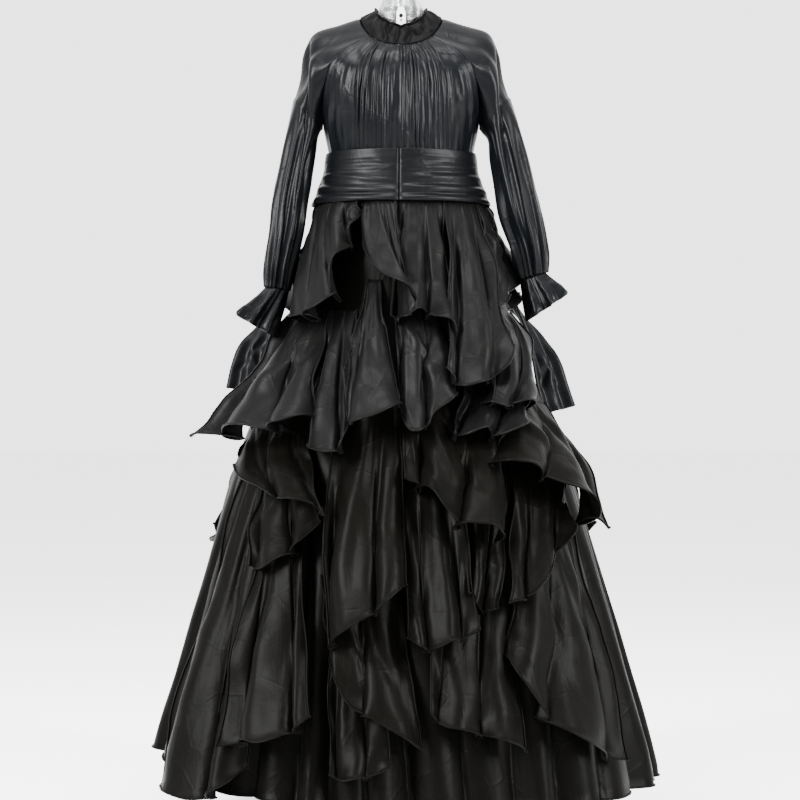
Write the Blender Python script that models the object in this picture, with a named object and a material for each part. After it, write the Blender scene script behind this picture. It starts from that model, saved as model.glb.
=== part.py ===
"""A gathered satin maxi dress with a pleated sash and cascading flounces, worn by a clear limbless form.

Metres, +Z up, the floor at Z = 0. The dress faces -Y, so its own left is at +X.
"""
import math

import bpy
import numpy as np

for item in list(bpy.data.objects):
    bpy.data.objects.remove(item, do_unlink=True)

# Cloth and plastic walls
SATIN = 0.0015
FLOUNCE_SATIN = 0.0013
FORM_WALL = 0.003
SEAM = 0.0003
SEWN = 0.0006

# Underskirt
SKIRT_COLUMNS = 96
SKIRT_FOLDS = 32
BROAD_FOLDS = 7
BROAD_SHARE = 0.35
SIDE_CLEARANCE = 0.12
FULLNESS = 0.6
HEM_DIP = 0.4
SKIRT_PROFILE = [
    # height, half_width, half_depth, fold_depth, hem_share
    (0.105, 0.468, 0.386, 0.015, 1.0),
    (0.210, 0.443, 0.365, 0.011, 0.55),
    (0.380, 0.398, 0.326, 0.006, 0.15),
    (0.525, 0.360, 0.292, 0.003, 0.0),
    (0.694, 0.312, 0.250, 0.0005, 0.0),
    (0.797, 0.272, 0.218, 0.0, 0.0),
    (0.930, 0.222, 0.184, 0.0, 0.0),
    (1.023, 0.187, 0.156, 0.0, 0.0),
    (1.100, 0.168, 0.136, 0.0, 0.0),
    (1.175, 0.155, 0.120, 0.0, 0.0),
    (1.225, 0.138, 0.105, 0.0, 0.0),
]
SKIRT_LEVELS = (1.225, 1.10, 0.90, 0.66, 0.38, 0.105)
HEM_LIFT = [
    # turn, lift
    (-180.0, 0.0),
    (-110.0, 0.03),
    (-80.0, 0.055),
    (-50.0, 0.02),
    (0.0, 0.0),
    (60.0, -0.008),
    (90.0, -0.012),
    (180.0, 0.0),
]

# Flounces: a turn is in degrees from the centre front, positive to the dress's left
FRONT_FLOUNCES = [
    # name, first, last, top_first, top_last, finer, down, waves, depth, phase, swell
    ("waist_1", -23, -8, 1.185, 1.185, 1, 5, 4.0, 0.012, 0.4, 0.60),
    ("waist_2", -8, -1, 1.185, 1.185, 1, 6, 1.5, 0.006, 2.2, 0.80),
    ("waist_3", -1, 8, 1.185, 1.185, 1, 5, 2.5, 0.008, 1.0, 0.80),
    ("waist_4", 8, 16, 1.185, 1.185, 1, 6, 2.0, 0.009, 0.5, 0.75),
    ("waist_5", 16, 23, 1.185, 1.185, 1, 5, 2.0, 0.006, 2.0, 0.55),
    ("hip_1", -19, -10, 0.985, 0.975, 1, 6, 2.5, 0.015, 0.2, 0.85),
    ("hip_2", -10, -6, 0.975, 0.975, 2, 6, 2.0, 0.010, 1.2, 0.90),
    ("hip_3", -5, -3, 1.030, 1.030, 4, 6, 1.5, 0.009, 0.0, 0.90),
    ("hip_4", -1, 6, 1.000, 1.000, 1, 6, 2.0, 0.010, 2.6, 0.90),
    ("hip_5", 7, 16, 0.860, 0.860, 1, 5, 2.5, 0.012, 0.8, 0.90),
    ("hip_6", 13, 22, 0.985, 0.975, 1, 5, 2.0, 0.006, 1.8, 0.85),
    ("knee_1", -20, -9, 0.800, 0.745, 1, 5, 2.5, 0.008, 2.4, 0.85),
    ("knee_2", -14, -9, 0.720, 0.720, 2, 5, 2.0, 0.006, 0.6, 0.90),
    ("knee_3", -7, 0, 0.820, 0.820, 1, 6, 2.0, 0.012, 1.4, 0.95),
    ("knee_4", 0, 11, 0.820, 0.810, 1, 5, 2.5, 0.014, 0.0, 0.90),
    ("knee_5", 11, 22, 0.815, 0.805, 1, 5, 2.5, 0.012, 2.0, 0.85),
    ("knee_6", 10, 17, 0.720, 0.710, 1, 5, 2.0, 0.009, 0.2, 0.90),
    ("knee_7", 5, 10, 0.690, 0.690, 2, 5, 2.0, 0.007, 1.0, 0.90),
    ("hem_1", -17, -12, 0.680, 0.680, 2, 5, 2.0, 0.012, 1.6, 0.90),
    ("hem_2", -12, -8, 0.660, 0.660, 2, 6, 2.0, 0.012, 0.4, 0.90),
    ("hem_3", -6, 0, 0.500, 0.490, 1, 6, 2.0, 0.009, 2.8, 0.85),
    ("hem_4", -5, -1, 0.400, 0.390, 2, 4, 2.0, 0.006, 0.8, 0.90),
    ("hem_5", 0, 5, 0.690, 0.690, 2, 6, 2.0, 0.009, 0.0, 0.90),
    ("hem_6", 2, 8, 0.500, 0.500, 1, 5, 2.0, 0.008, 1.1, 0.85),
    ("hem_7", 10, 17, 0.630, 0.620, 1, 6, 2.5, 0.009, 2.0, 0.85),
]
FRONT_HEMS = {
    # turn, height, out: along the hem, from the flounce's first end to its last
    "waist_1": [(-90, 1.000, 0.014), (-56, 0.960, 0.032), (-42, 0.960, 0.050), (-34, 0.970, 0.060),
                (-28, 1.000, 0.066), (-27.5, 1.060, 0.058), (-26.5, 1.100, 0.040),
                (-24, 1.135, 0.014)],
    "waist_2": [(-25, 1.135, 0.014), (-16, 1.070, 0.034), (-8, 1.035, 0.054), (-1, 1.020, 0.070),
                (4, 1.005, 0.080), (5, 0.985, 0.080), (3, 0.960, 0.070)],
    "waist_3": [(-4, 0.960, 0.030), (2, 0.955, 0.040), (7, 0.970, 0.038), (13, 0.960, 0.042),
                (19, 0.950, 0.040), (21, 0.920, 0.034)],
    "waist_4": [(16, 0.860, 0.050), (18, 0.835, 0.064), (23, 0.835, 0.072), (29, 0.845, 0.074),
                (35, 0.865, 0.068), (40, 0.900, 0.058)],
    "waist_5": [(43, 0.980, 0.032), (50, 0.985, 0.042), (63, 1.010, 0.040), (90, 1.055, 0.032),
                (90, 1.095, 0.020)],
    "hip_1": [(-70, 0.730, 0.075), (-64, 0.750, 0.068), (-51, 0.755, 0.072), (-41, 0.760, 0.074),
              (-33, 0.765, 0.076), (-28, 0.785, 0.070)],
    "hip_2": [(-31, 0.740, 0.032), (-27, 0.720, 0.046), (-21, 0.715, 0.060), (-17, 0.725, 0.062),
              (-16, 0.750, 0.050), (-17, 0.780, 0.038)],
    "hip_3": [(-19, 0.860, 0.046), (-17, 0.810, 0.066), (-14, 0.770, 0.086), (-9, 0.775, 0.086),
              (-4, 0.790, 0.080), (0, 0.805, 0.062)],
    "hip_4": [(0, 0.790, 0.034), (2, 0.755, 0.050), (6, 0.755, 0.060), (10, 0.785, 0.060),
              (15, 0.805, 0.056), (19, 0.825, 0.044)],
    "hip_5": [(15, 0.745, 0.048), (18, 0.745, 0.062), (23, 0.755, 0.074), (28, 0.745, 0.080),
              (33, 0.755, 0.078), (40, 0.775, 0.066)],
    "hip_6": [(27, 0.805, 0.074), (31, 0.795, 0.078), (38, 0.805, 0.072), (47, 0.800, 0.058)],
    "knee_1": [(-61, 0.695, 0.034), (-49, 0.665, 0.048), (-40, 0.650, 0.056), (-32, 0.635, 0.064),
               (-26, 0.630, 0.068), (-21, 0.620, 0.074), (-18, 0.605, 0.070)],
    "knee_2": [(-42, 0.515, 0.040), (-36, 0.510, 0.046), (-31, 0.530, 0.046), (-26, 0.555, 0.042),
               (-22, 0.590, 0.036)],
    "knee_3": [(-16, 0.385, 0.060), (-12, 0.405, 0.078), (-8, 0.430, 0.088), (-4, 0.455, 0.090),
               (-1, 0.475, 0.084), (1, 0.490, 0.064)],
    "knee_4": [(1, 0.665, 0.046), (6, 0.655, 0.062), (9, 0.630, 0.078), (12, 0.600, 0.088),
               (17, 0.590, 0.092), (21, 0.585, 0.088), (25, 0.570, 0.070)],
    "knee_5": [(25, 0.700, 0.076), (29, 0.700, 0.086), (34, 0.690, 0.092), (40, 0.670, 0.092),
               (47, 0.645, 0.094), (53, 0.610, 0.084), (60, 0.570, 0.066)],
    "knee_6": [(26, 0.450, 0.046), (29, 0.460, 0.056), (33, 0.480, 0.060), (38, 0.510, 0.060),
               (44, 0.545, 0.052), (50, 0.580, 0.038)],
    "knee_7": [(16, 0.470, 0.030), (18, 0.450, 0.038), (20, 0.440, 0.040), (23, 0.445, 0.034)],
    "hem_1": [(-59, 0.120, 0.040), (-51, 0.110, 0.052), (-44, 0.110, 0.056), (-39, 0.125, 0.050),
              (-36, 0.140, 0.040), (-35, 0.170, 0.026)],
    "hem_2": [(-38, 0.205, 0.060), (-32, 0.220, 0.072), (-27, 0.220, 0.078), (-22, 0.240, 0.076),
              (-20, 0.250, 0.064), (-19, 0.260, 0.050)],
    "hem_3": [(-17, 0.365, 0.030), (-14, 0.325, 0.044), (-10, 0.285, 0.054), (-5, 0.260, 0.060),
              (0, 0.235, 0.060), (4, 0.215, 0.046)],
    "hem_4": [(-14, 0.165, 0.034), (-11, 0.160, 0.042), (-8, 0.165, 0.046), (-5, 0.170, 0.044),
              (-2, 0.180, 0.036)],
    "hem_5": [(2, 0.395, 0.044), (5, 0.380, 0.058), (8, 0.385, 0.066), (11, 0.395, 0.070),
              (14, 0.400, 0.066), (17, 0.410, 0.054)],
    "hem_6": [(6, 0.270, 0.038), (9, 0.250, 0.048), (13, 0.240, 0.052), (17, 0.235, 0.054),
              (21, 0.220, 0.050), (26, 0.200, 0.038)],
    "hem_7": [(25, 0.370, 0.034), (26, 0.330, 0.044), (28, 0.295, 0.052), (32, 0.250, 0.056),
              (38, 0.210, 0.056), (46, 0.185, 0.050), (53, 0.165, 0.038)],
}
RIPPLE_GROWTH = 1.2
BACK_TIERS = [
    # tier, first, each, pieces, down, top, hem, hem_rise, out, waves, depth
    ("waist", 28, 10, 4, 3, 1.185, 0.990, 0.018, 0.036, 2.0, 0.007),
    ("hip", 34, 14, 2, 4, 0.955, 0.740, 0.030, 0.060, 2.5, 0.012),
    ("knee", 30, 12, 3, 4, 0.760, 0.520, 0.040, 0.062, 2.5, 0.014),
    ("hem", 30, 12, 3, 4, 0.480, 0.170, 0.030, 0.056, 2.5, 0.012),
]
BACK_HEM = [
    # share_along, rise_share, out_share
    (0.02, 1.0, 0.55),
    (0.25, 0.0, 1.0),
    (0.50, 0.5, 1.05),
    (0.75, 0.0, 1.0),
    (0.98, 1.0, 0.55),
]
BACK_PHASE_STEP = 1.3
BACK_SWELL = 0.85

# Bodice: an edge is on the side that a sleeve or a side seam joins
FRONT_ROWS = [
    # edge_across, edge_out, edge_height, centre_out, centre_height, roundness, gather_depth, gathered
    (0.0580, 0.052, 1.494, 0.0740, 1.4725, 0.55, 0.0010, 0.048),
    (0.0990, 0.074, 1.470, 0.0940, 1.4520, 0.65, 0.0026, 0.066),
    (0.1280, 0.082, 1.441, 0.1075, 1.4260, 0.80, 0.0036, 0.080),
    (0.1405, 0.070, 1.405, 0.1150, 1.3950, 0.90, 0.0042, 0.086),
    (0.1460, 0.040, 1.365, 0.1180, 1.3590, 1.00, 0.0042, 0.088),
    (0.1465, 0.000, 1.325, 0.1180, 1.3220, 1.00, 0.0038, 0.090),
    (0.1370, 0.000, 1.275, 0.1080, 1.2720, 1.00, 0.0024, 0.092),
    (0.1380, 0.000, 1.2256, 0.1050, 1.2256, 1.00, 0.0008, 0.094),
]
BACK_ROWS = [
    # edge_across, edge_out, edge_height, centre_out, centre_height, roundness, gather_depth, gathered
    (0.0580, 0.044, 1.531, 0.0680, 1.5250, 0.55, 0.0006, 0.048),
    (0.0980, 0.070, 1.486, 0.0880, 1.4800, 0.65, 0.0016, 0.070),
    (0.1270, 0.082, 1.446, 0.1000, 1.4400, 0.80, 0.0022, 0.086),
    (0.1405, 0.070, 1.405, 0.1060, 1.4000, 0.90, 0.0024, 0.094),
    (0.1460, 0.040, 1.365, 0.1080, 1.3600, 1.00, 0.0022, 0.098),
    (0.1465, 0.000, 1.325, 0.1080, 1.3220, 1.00, 0.0020, 0.100),
    (0.1370, 0.000, 1.275, 0.1000, 1.2720, 1.00, 0.0016, 0.102),
    (0.1380, 0.000, 1.2256, 0.1050, 1.2256, 1.00, 0.0008, 0.104),
]
SMOOTH_COLUMNS = 3
GATHER_MEAN = 0.75
GATHER_SWAY = 0.25
GATHER_SWAYS = 3.1
FRONT_GATHERS = 18
BACK_GATHERS = 10
SHOULDER_BY_THE_COLLAR = [
    # across, out, height: from the front corner of the collar to its back corner
    (0.0700, 0.030, 1.514),
    (0.0770, 0.000, 1.535),
    (0.0690, -0.026, 1.536),
]

# Collar
COLLAR_SEAM = [
    # turn, across, out, height
    (0.0, 0.0000, 0.0740, 1.4725),
    (25.0, 0.0300, 0.0690, 1.4775),
    (50.0, 0.0580, 0.0520, 1.4940),
    (72.0, 0.0700, 0.0300, 1.5140),
    (95.0, 0.0770, 0.0000, 1.5350),
    (115.0, 0.0690, -0.0260, 1.5360),
    (132.0, 0.0580, -0.0440, 1.5310),
    (155.0, 0.0300, -0.0625, 1.5270),
    (180.0, 0.0000, -0.0680, 1.5250),
]
COLLAR_TOP = [
    # turn, radius, height
    (0.0, 0.0500, 1.5100),
    (22.0, 0.0505, 1.5175),
    (45.0, 0.0500, 1.5280),
    (70.0, 0.0485, 1.5430),
    (90.0, 0.0480, 1.5545),
    (125.0, 0.0490, 1.5500),
    (155.0, 0.0500, 1.5400),
    (180.0, 0.0500, 1.5370),
]
COLLAR_CRUMPLES = 7
COLLAR_CLEARANCE = 0.0013
CRUMPLE_DEPTH = 0.0016

# Sleeves and cuffs
SLEEVE_STATIONS = 4
UNDERARM_CLEARANCE = 0.0034
RAGLAN_CLEARANCE = 0.0011
SHOULDER_CREST = (0.024, 0.047)
CREST_DELAY = 1.3
CREST_WIDTH = 1.6
SLEEVE_FOLDS = 7
SLEEVE_LEFT = [
    # height, tilt, centre_across, centre_out, half_width, half_depth, fold_depth
    (1.352, 0.068, 0.1815, 0.002, 0.0275, 0.052, 0.0020),
    (1.317, 0.030, 0.1960, 0.006, 0.0285, 0.054, 0.0035),
    (1.270, 0.010, 0.2040, 0.012, 0.0330, 0.057, 0.0045),
    (1.209, 0.000, 0.2150, 0.022, 0.0370, 0.060, 0.0055),
    (1.148, 0.000, 0.2270, 0.034, 0.0370, 0.058, 0.0060),
    (1.089, 0.004, 0.2420, 0.044, 0.0300, 0.048, 0.0055),
    (1.042, 0.014, 0.2490, 0.052, 0.0230, 0.030, 0.0025),
]
SLEEVE_RIGHT = [
    # height, tilt, centre_across, centre_out, half_width, half_depth, fold_depth
    (1.352, 0.068, 0.1805, 0.002, 0.0270, 0.052, 0.0020),
    (1.310, 0.026, 0.1890, 0.006, 0.0265, 0.054, 0.0035),
    (1.255, 0.008, 0.1990, 0.012, 0.0290, 0.057, 0.0045),
    (1.190, 0.000, 0.2090, 0.024, 0.0330, 0.060, 0.0055),
    (1.120, 0.000, 0.2170, 0.038, 0.0310, 0.056, 0.0060),
    (1.060, 0.000, 0.2260, 0.056, 0.0260, 0.046, 0.0055),
    (1.018, 0.006, 0.2310, 0.070, 0.0215, 0.030, 0.0025),
]
CUFF_WAVES = 7
CUFF_LEFT = [
    # height, tilt, centre_across, centre_out, half_width, half_depth, wave_depth
    (1.0415, 0.014, 0.2492, 0.0522, 0.0230, 0.030, 0.0012),
    (1.018, 0.026, 0.2590, 0.055, 0.0270, 0.038, 0.0035),
    (0.990, 0.040, 0.2740, 0.058, 0.0320, 0.047, 0.0060),
]
CUFF_RIGHT = [
    # height, tilt, centre_across, centre_out, half_width, half_depth, wave_depth
    (1.0175, 0.006, 0.2312, 0.0702, 0.0215, 0.030, 0.0012),
    (0.988, 0.016, 0.2480, 0.078, 0.0260, 0.040, 0.0035),
    (0.955, 0.034, 0.2710, 0.084, 0.0300, 0.048, 0.0060),
]

# Sash
SASH_PROFILE = [
    # height, half_width, half_depth
    (1.178, 0.1690, 0.1330),
    (1.205, 0.1590, 0.1250),
    (1.235, 0.1480, 0.1170),
    (1.276, 0.1425, 0.1138),
]
SASH_PLEATS = 6
PLEAT_LIFT = 0.0040
PLEAT_EDGE = 0.72
SIDE_PLEAT_SHARE = 0.35
SASH_SAG = 0.004
SASH_CENTRE_TURN = -1.5
TAIL_CURL = 0.006
TAIL_CURLS = 1.1
TAIL_HALF_WIDTH = 0.036
TAIL_LEFT = [
    # across, out, height, sideways_turn, half_width
    (0.0324, -0.1457, 1.206, 10.0, 0.010),
    (0.095, -0.176, 1.150, 25.0, 0.026),
    (0.160, -0.172, 1.060, 52.0, 0.036),
    (0.228, -0.130, 0.985, 104.0, 0.037),
    (0.272, -0.088, 0.905, 130.0, 0.039),
    (0.290, -0.078, 0.840, 140.0, 0.040),
    (0.304, -0.074, 0.792, 141.0, 0.041),
]
TAIL_RIGHT = [
    # across, out, height, sideways_turn, half_width
    (0.0324, -0.1457, 1.206, 10.0, 0.010),
    (0.095, -0.176, 1.155, 25.0, 0.026),
    (0.160, -0.174, 1.072, 52.0, 0.036),
    (0.232, -0.136, 1.000, 102.0, 0.037),
    (0.276, -0.092, 0.930, 132.0, 0.039),
    (0.296, -0.080, 0.872, 144.0, 0.040),
    (0.303, -0.074, 0.832, 150.0, 0.040),
]
KNOT_CENTRE = (0.0, 0.1439, 1.212)
KNOT_RADII = (0.030, 0.014, 0.026)
KNOT_CREASES = 4
KNOT_CREASE_DEPTH = 0.10

# Clear form, its tab, post and foot
FORM_PROFILE = [
    # height, half_width, half_depth
    (1.600, 0.0310, 0.0310),
    (1.596, 0.0335, 0.0335),
    (1.570, 0.0340, 0.0340),
    (1.552, 0.0430, 0.0430),
    (1.542, 0.0430, 0.0430),
    (1.537, 0.0400, 0.0400),
    (1.510, 0.0430, 0.0415),
    (1.488, 0.1020, 0.0560),
    (1.462, 0.1380, 0.0720),
    (1.400, 0.1420, 0.0900),
    (1.325, 0.1360, 0.0960),
    (1.275, 0.1320, 0.0955),
    (1.2245, 0.1350, 0.1020),
    (1.218, 0.1385, 0.1056),
    (1.120, 0.1480, 0.1120),
    (1.000, 0.1580, 0.1240),
]
FORM_SIDES = 16
CAP_INSIDE = 1.5965
POST_RADIUS = 0.0125
POST_SIDES = 24
FOOT_SIDES = 32
FOOT_RADIUS = 0.190
FOOT_THICKNESS = 0.012
FOOT_BEVEL = 0.003
TAB_HALF_WIDTH = 0.0085
TAB_TOP = 1.5490
TAB_BOTTOM = 1.5130
TAB_BACK = 0.0434
TAB_THICKNESS = 0.0020
TAB_HOLE_HEIGHT = 1.5240
TAB_HOLE_RADIUS = 0.0035

# Looks: linear colour, roughness and metallic
SATIN_BLUE = ((0.040, 0.046, 0.056), 0.36, 0.0)
SATIN_BLACK = ((0.022, 0.022, 0.024), 0.42, 0.0)
COLLAR_BLACK = ((0.024, 0.025, 0.028), 0.50, 0.0)
CLEAR = ((0.86, 0.88, 0.88), 0.12, 0.0)
STEEL = ((0.62, 0.63, 0.64), 0.28, 1.0)


def smooth(table, at, column):
    """Reads one column of a table as a smooth curve over its first column."""
    rows = np.array(sorted(table), float)
    x = rows[:, 0]
    y = rows[:, column]
    slope = np.gradient(y, x)
    at = np.clip(at, x[0], x[-1])
    k = np.clip(np.searchsorted(x, at) - 1, 0, len(x) - 2)
    span = x[k + 1] - x[k]
    f = (at - x[k]) / span
    start = (1 + 2 * f) * (1 - f) ** 2 * y[k] + f * (1 - f) ** 2 * span * slope[k]
    end = f * f * (3 - 2 * f) * y[k + 1] + f * f * (f - 1) * span * slope[k + 1]
    return start + end


def through(rows, at):
    """A smooth curve through rows of numbers that are evenly spaced from 0 to 1."""
    rows = np.array(rows, float)
    steps = np.linspace(0.0, 1.0, len(rows))
    table = np.column_stack([steps, rows])
    return np.stack([smooth(table.tolist(), at, i + 1) for i in range(rows.shape[1])], axis=-1)


def normals_of(grid, around):
    """Outward directions of a grid of points whose rows run down and columns run to the left."""
    down = np.gradient(grid, axis=0)
    if around:
        across = np.roll(grid, -1, 1) - np.roll(grid, 1, 1)
    else:
        across = np.gradient(grid, axis=1)
    normal = np.cross(down, across)
    return normal / np.linalg.norm(normal, axis=2, keepdims=True)


def material(name, look):
    colour, roughness, metallic = look
    made = bpy.data.materials.new(name)
    made.use_nodes = True
    shader = made.node_tree.nodes["Principled BSDF"]
    shader.inputs["Base Color"].default_value = (*colour, 1.0)
    shader.inputs["Roughness"].default_value = roughness
    shader.inputs["Metallic"].default_value = metallic
    return made


def add(name, points, faces, look):
    mesh = bpy.data.meshes.new(name)
    mesh.from_pydata([tuple(float(v) for v in p) for p in points], [], faces)
    mesh.update()
    piece = bpy.data.objects.new(name, mesh)
    bpy.context.collection.objects.link(piece)
    mesh.materials.append(material(name, look))
    for face in mesh.polygons:
        face.use_smooth = True
    return piece


def split(a, b, d, e, grid):
    """Two triangles of a four-cornered patch, cut along its shorter diagonal."""
    if np.linalg.norm(grid[a] - grid[e]) < np.linalg.norm(grid[b] - grid[d]):
        return (a, d, e), (a, e, b)
    return (a, d, b), (b, d, e)


def sheet(name, grid, thickness, look, around=False, normal=None):
    """A cloth wall of even thickness on both sides of a grid of points."""
    if normal is None:
        normal = normals_of(grid, around)
    rows, columns = grid.shape[:2]
    flat = grid.reshape(-1, 3)
    half = normal.reshape(-1, 3) * thickness / 2
    points = np.concatenate([flat + half, flat - half])
    other = len(flat)
    faces = []
    for r in range(rows - 1):
        for c in range(columns if around else columns - 1):
            a = r * columns + c
            b = r * columns + (c + 1) % columns
            d = a + columns
            e = b + columns
            for one in split(a, b, d, e, flat):
                faces.append(one)
                faces.append(tuple(other + i for i in reversed(one)))
            if r == 0:
                faces.extend([(a, b, other + b), (a, other + b, other + a)])
            if r == rows - 2:
                faces.extend([(d, other + d, other + e), (d, other + e, e)])
    if not around:
        for r in range(rows - 1):
            a = r * columns
            d = a + columns
            b = a + columns - 1
            e = b + columns
            faces.extend([(a, other + a, other + d), (a, other + d, d)])
            faces.extend([(b, e, other + e), (b, other + e, other + b)])
    return add(name, points, faces, look)


# Underskirt: its folds deepen towards a hem that is highest on the right side


def skirt_point(turn, height, out):
    """A point of the skirt's cone, moved straight out by out."""
    angle = np.radians(turn)
    wide = smooth(SKIRT_PROFILE, height, 1) + out
    deep = smooth(SKIRT_PROFILE, height, 2) + out
    return np.stack([wide * np.sin(angle), -deep * np.cos(angle), height + 0 * turn], axis=-1)


def skirt_fold(turn, height):
    """How far the underskirt's folds stand out at a turn and height."""
    angle = np.radians(turn)
    wave = np.cos(SKIRT_FOLDS * angle) + BROAD_SHARE * np.cos(BROAD_FOLDS * angle + 1.0)
    return smooth(SKIRT_PROFILE, height, 3) * wave


def skirt_grid(first, last):
    columns = np.arange(first, last + 1)
    turn = columns * 360.0 / SKIRT_COLUMNS
    rows = []
    for level in SKIRT_LEVELS:
        lift = smooth(HEM_LIFT, turn, 1) * smooth(SKIRT_PROFILE, level, 4)
        height = level + lift
        rows.append(skirt_point(turn, height, skirt_fold(turn, level)))
    return np.array(rows)


QUARTER = SKIRT_COLUMNS // 4
front_skirt = skirt_grid(-QUARTER, QUARTER)
back_skirt = skirt_grid(QUARTER, 3 * QUARTER)
whole_skirt = np.concatenate([front_skirt[:, :-1], back_skirt[:, :-1]], axis=1)
whole_normals = normals_of(whole_skirt, True)
front_normals = whole_normals[:, :2 * QUARTER + 1]
back_normals = np.concatenate([whole_normals[:, 2 * QUARTER:], whole_normals[:, :1]], axis=1)
for panel, side in ((front_skirt, -1), (back_skirt, 1)):
    panel[:, 0, 1] += side * SEAM / 2
    panel[:, -1, 1] += side * SEAM / 2
    panel[0, :, 2] -= SEAM
for line in (front_normals[:, 0], front_normals[:, -1], back_normals[:, 0], back_normals[:, -1]):
    line[:, 1] = 0.0
sheet("underskirt_front", front_skirt, SATIN, SATIN_BLACK, normal=front_normals)
sheet("underskirt_back", back_skirt, SATIN, SATIN_BLACK, normal=back_normals)


def on_skirt(turn, height, off):
    """A point on the underskirt's cloth, moved out along its normal by off."""
    place = (turn % 360.0) * SKIRT_COLUMNS / 360.0 + QUARTER
    low = int(math.floor(place))
    share = place - low
    found = []
    for column in (low % SKIRT_COLUMNS, (low + 1) % SKIRT_COLUMNS):
        line = whole_skirt[:, column]
        way = whole_normals[:, column]
        at = [np.interp(-height, -line[:, 2], line[:, i]) for i in range(3)]
        out = [np.interp(-height, -line[:, 2], way[:, i]) for i in range(3)]
        found.append(np.array(at) + off * np.array(out))
    return found[0] * (1 - share) + found[1] * share


# Flounces: each is sewn along its top to the underskirt and flares to a waved hem


def flounce_grid(first, last, tops, finer, down, waves, depth, phase, swell, hem):
    """Points of a flounce whose top runs from one of the skirt's columns to another."""
    s = np.linspace(0.0, 1.0, (last - first) * finer + 1)
    place = first + (last - first) * s
    place[0] += SIDE_CLEARANCE
    place[-1] -= SIDE_CLEARANCE
    top_turn = place * 360.0 / SKIRT_COLUMNS
    top_height = tops[0] + (tops[1] - tops[0]) * s
    seat = SATIN / 2 + SEWN + FLOUNCE_SATIN / 2
    angle = 2 * math.pi * waves * s + phase
    ripple = depth * np.cos(angle)
    shift = FULLNESS * np.sin(angle) / (2 * math.pi * waves)
    shift -= shift[0] * (1.0 - s) + shift[-1] * s
    edge = through(hem, s + shift)
    rows = [[on_skirt(t, h, seat) for t, h in zip(top_turn, top_height)]]
    for step in range(1, down):
        t = step / (down - 1)
        turn = top_turn + (edge[:, 0] - top_turn) * t
        height = top_height + (edge[:, 1] + HEM_DIP * ripple - top_height) * t
        out = seat + (edge[:, 2] - seat) * t ** swell + ripple * t ** RIPPLE_GROWTH
        rows.append(skirt_point(turn, height, out))
    return np.array([np.array(row) for row in rows])


for name, first, last, top_first, top_last, *shape in FRONT_FLOUNCES:
    grid = flounce_grid(first, last, (top_first, top_last), *shape, FRONT_HEMS[name])
    sheet("flounce_" + name, grid, FLOUNCE_SATIN, SATIN_BLACK)

for tier, first, each, pieces, down, top, low, rise, out, waves, depth in BACK_TIERS:
    for number in range(pieces):
        start = first + each * number
        hem = [((start + each * share) * 360.0 / SKIRT_COLUMNS, low + rise * up, out * outward)
               for share, up, outward in BACK_HEM]
        grid = flounce_grid(start, start + each, (top, top), 1, down, waves, depth,
                            number * BACK_PHASE_STEP, BACK_SWELL, hem)
        sheet(f"flounce_back_{tier}_{number + 1}", grid, FLOUNCE_SATIN, SATIN_BLACK)


# Bodice: front and back, gathered into the collar, joined to the sleeves by raglan seams


def bodice_grid(rows, gathers, side):
    """Rows of points across a panel, gathered in its middle; side is 1 for the front."""
    middle = np.linspace(-1.0, 1.0, gathers * 2 + 1)
    zigzag = np.where(np.arange(len(middle)) % 2 == 0, -1.0, 1.0)
    zigzag[[0, -1]] = 0.0
    beyond = np.linspace(1.0, 2.0, SMOOTH_COLUMNS + 1)[1:]
    place = np.concatenate([-beyond[::-1], middle, beyond])
    uneven = GATHER_MEAN + GATHER_SWAY * np.cos(GATHER_SWAYS * math.pi * middle + 0.6)
    fold = np.pad(zigzag * uneven, SMOOTH_COLUMNS)
    inside = np.minimum(np.abs(place), 1.0)
    outside = np.maximum(np.abs(place) - 1.0, 0.0)
    grid = []
    for wide, edge_out, edge_height, out, height, roundness, depth, gathered in rows:
        end = math.pi / 2 * roundness
        across = np.sign(place) * (gathered * inside + (wide - gathered) * outside)
        angle = np.arcsin(np.clip(across * math.sin(end) / wide, -1.0, 1.0))
        share = (np.cos(angle) - math.cos(end)) / (1 - math.cos(end))
        x = across + depth * fold * np.sin(angle)
        y = edge_out + (out - edge_out) * share + depth * fold * np.cos(angle)
        z = edge_height + (height - edge_height) * share
        grid.append(np.stack([side * x, -side * y, z], axis=-1))
    return np.array(grid)


front_bodice = bodice_grid(FRONT_ROWS, FRONT_GATHERS, 1)
back_bodice = bodice_grid(BACK_ROWS, BACK_GATHERS, -1)
ARMPIT = 5
for name, panel, side in (("bodice_front", front_bodice, -1), ("bodice_back", back_bodice, 1)):
    panel[ARMPIT:, 0, 1] += side * SEAM / 2
    panel[ARMPIT:, -1, 1] += side * SEAM / 2
    normal = normals_of(panel, False)
    for edge in (0, -1):
        straight = np.sign(panel[ARMPIT:, edge, 0])
        normal[ARMPIT:, edge] = np.stack([straight, 0 * straight, 0 * straight], axis=-1)
    sheet(name, panel, SATIN, SATIN_BLUE, normal=normal)


# Sleeves: the raglan opening runs from the underarm up the front seam, round the collar and back


def halfway(a, b):
    return tuple((np.array(a) + np.array(b)) / 2)


def armhole(side):
    front = [(r[0], r[1], r[2]) for r in FRONT_ROWS[:ARMPIT + 1]]
    back = [(r[0], -r[1], r[2]) for r in BACK_ROWS[:ARMPIT + 1]]
    loop = [front[5], halfway(front[5], front[4]), front[4], halfway(front[4], front[3]), front[3]]
    loop += [halfway(front[3], front[2]), front[2], front[1], front[0]]
    loop += SHOULDER_BY_THE_COLLAR
    loop += [back[0], back[1], back[2], halfway(back[2], back[3]), back[3]]
    loop += [halfway(back[3], back[4]), back[4], halfway(back[4], back[5])]
    return np.array([(side * x, -out, z) for x, out, z in loop])


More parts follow.
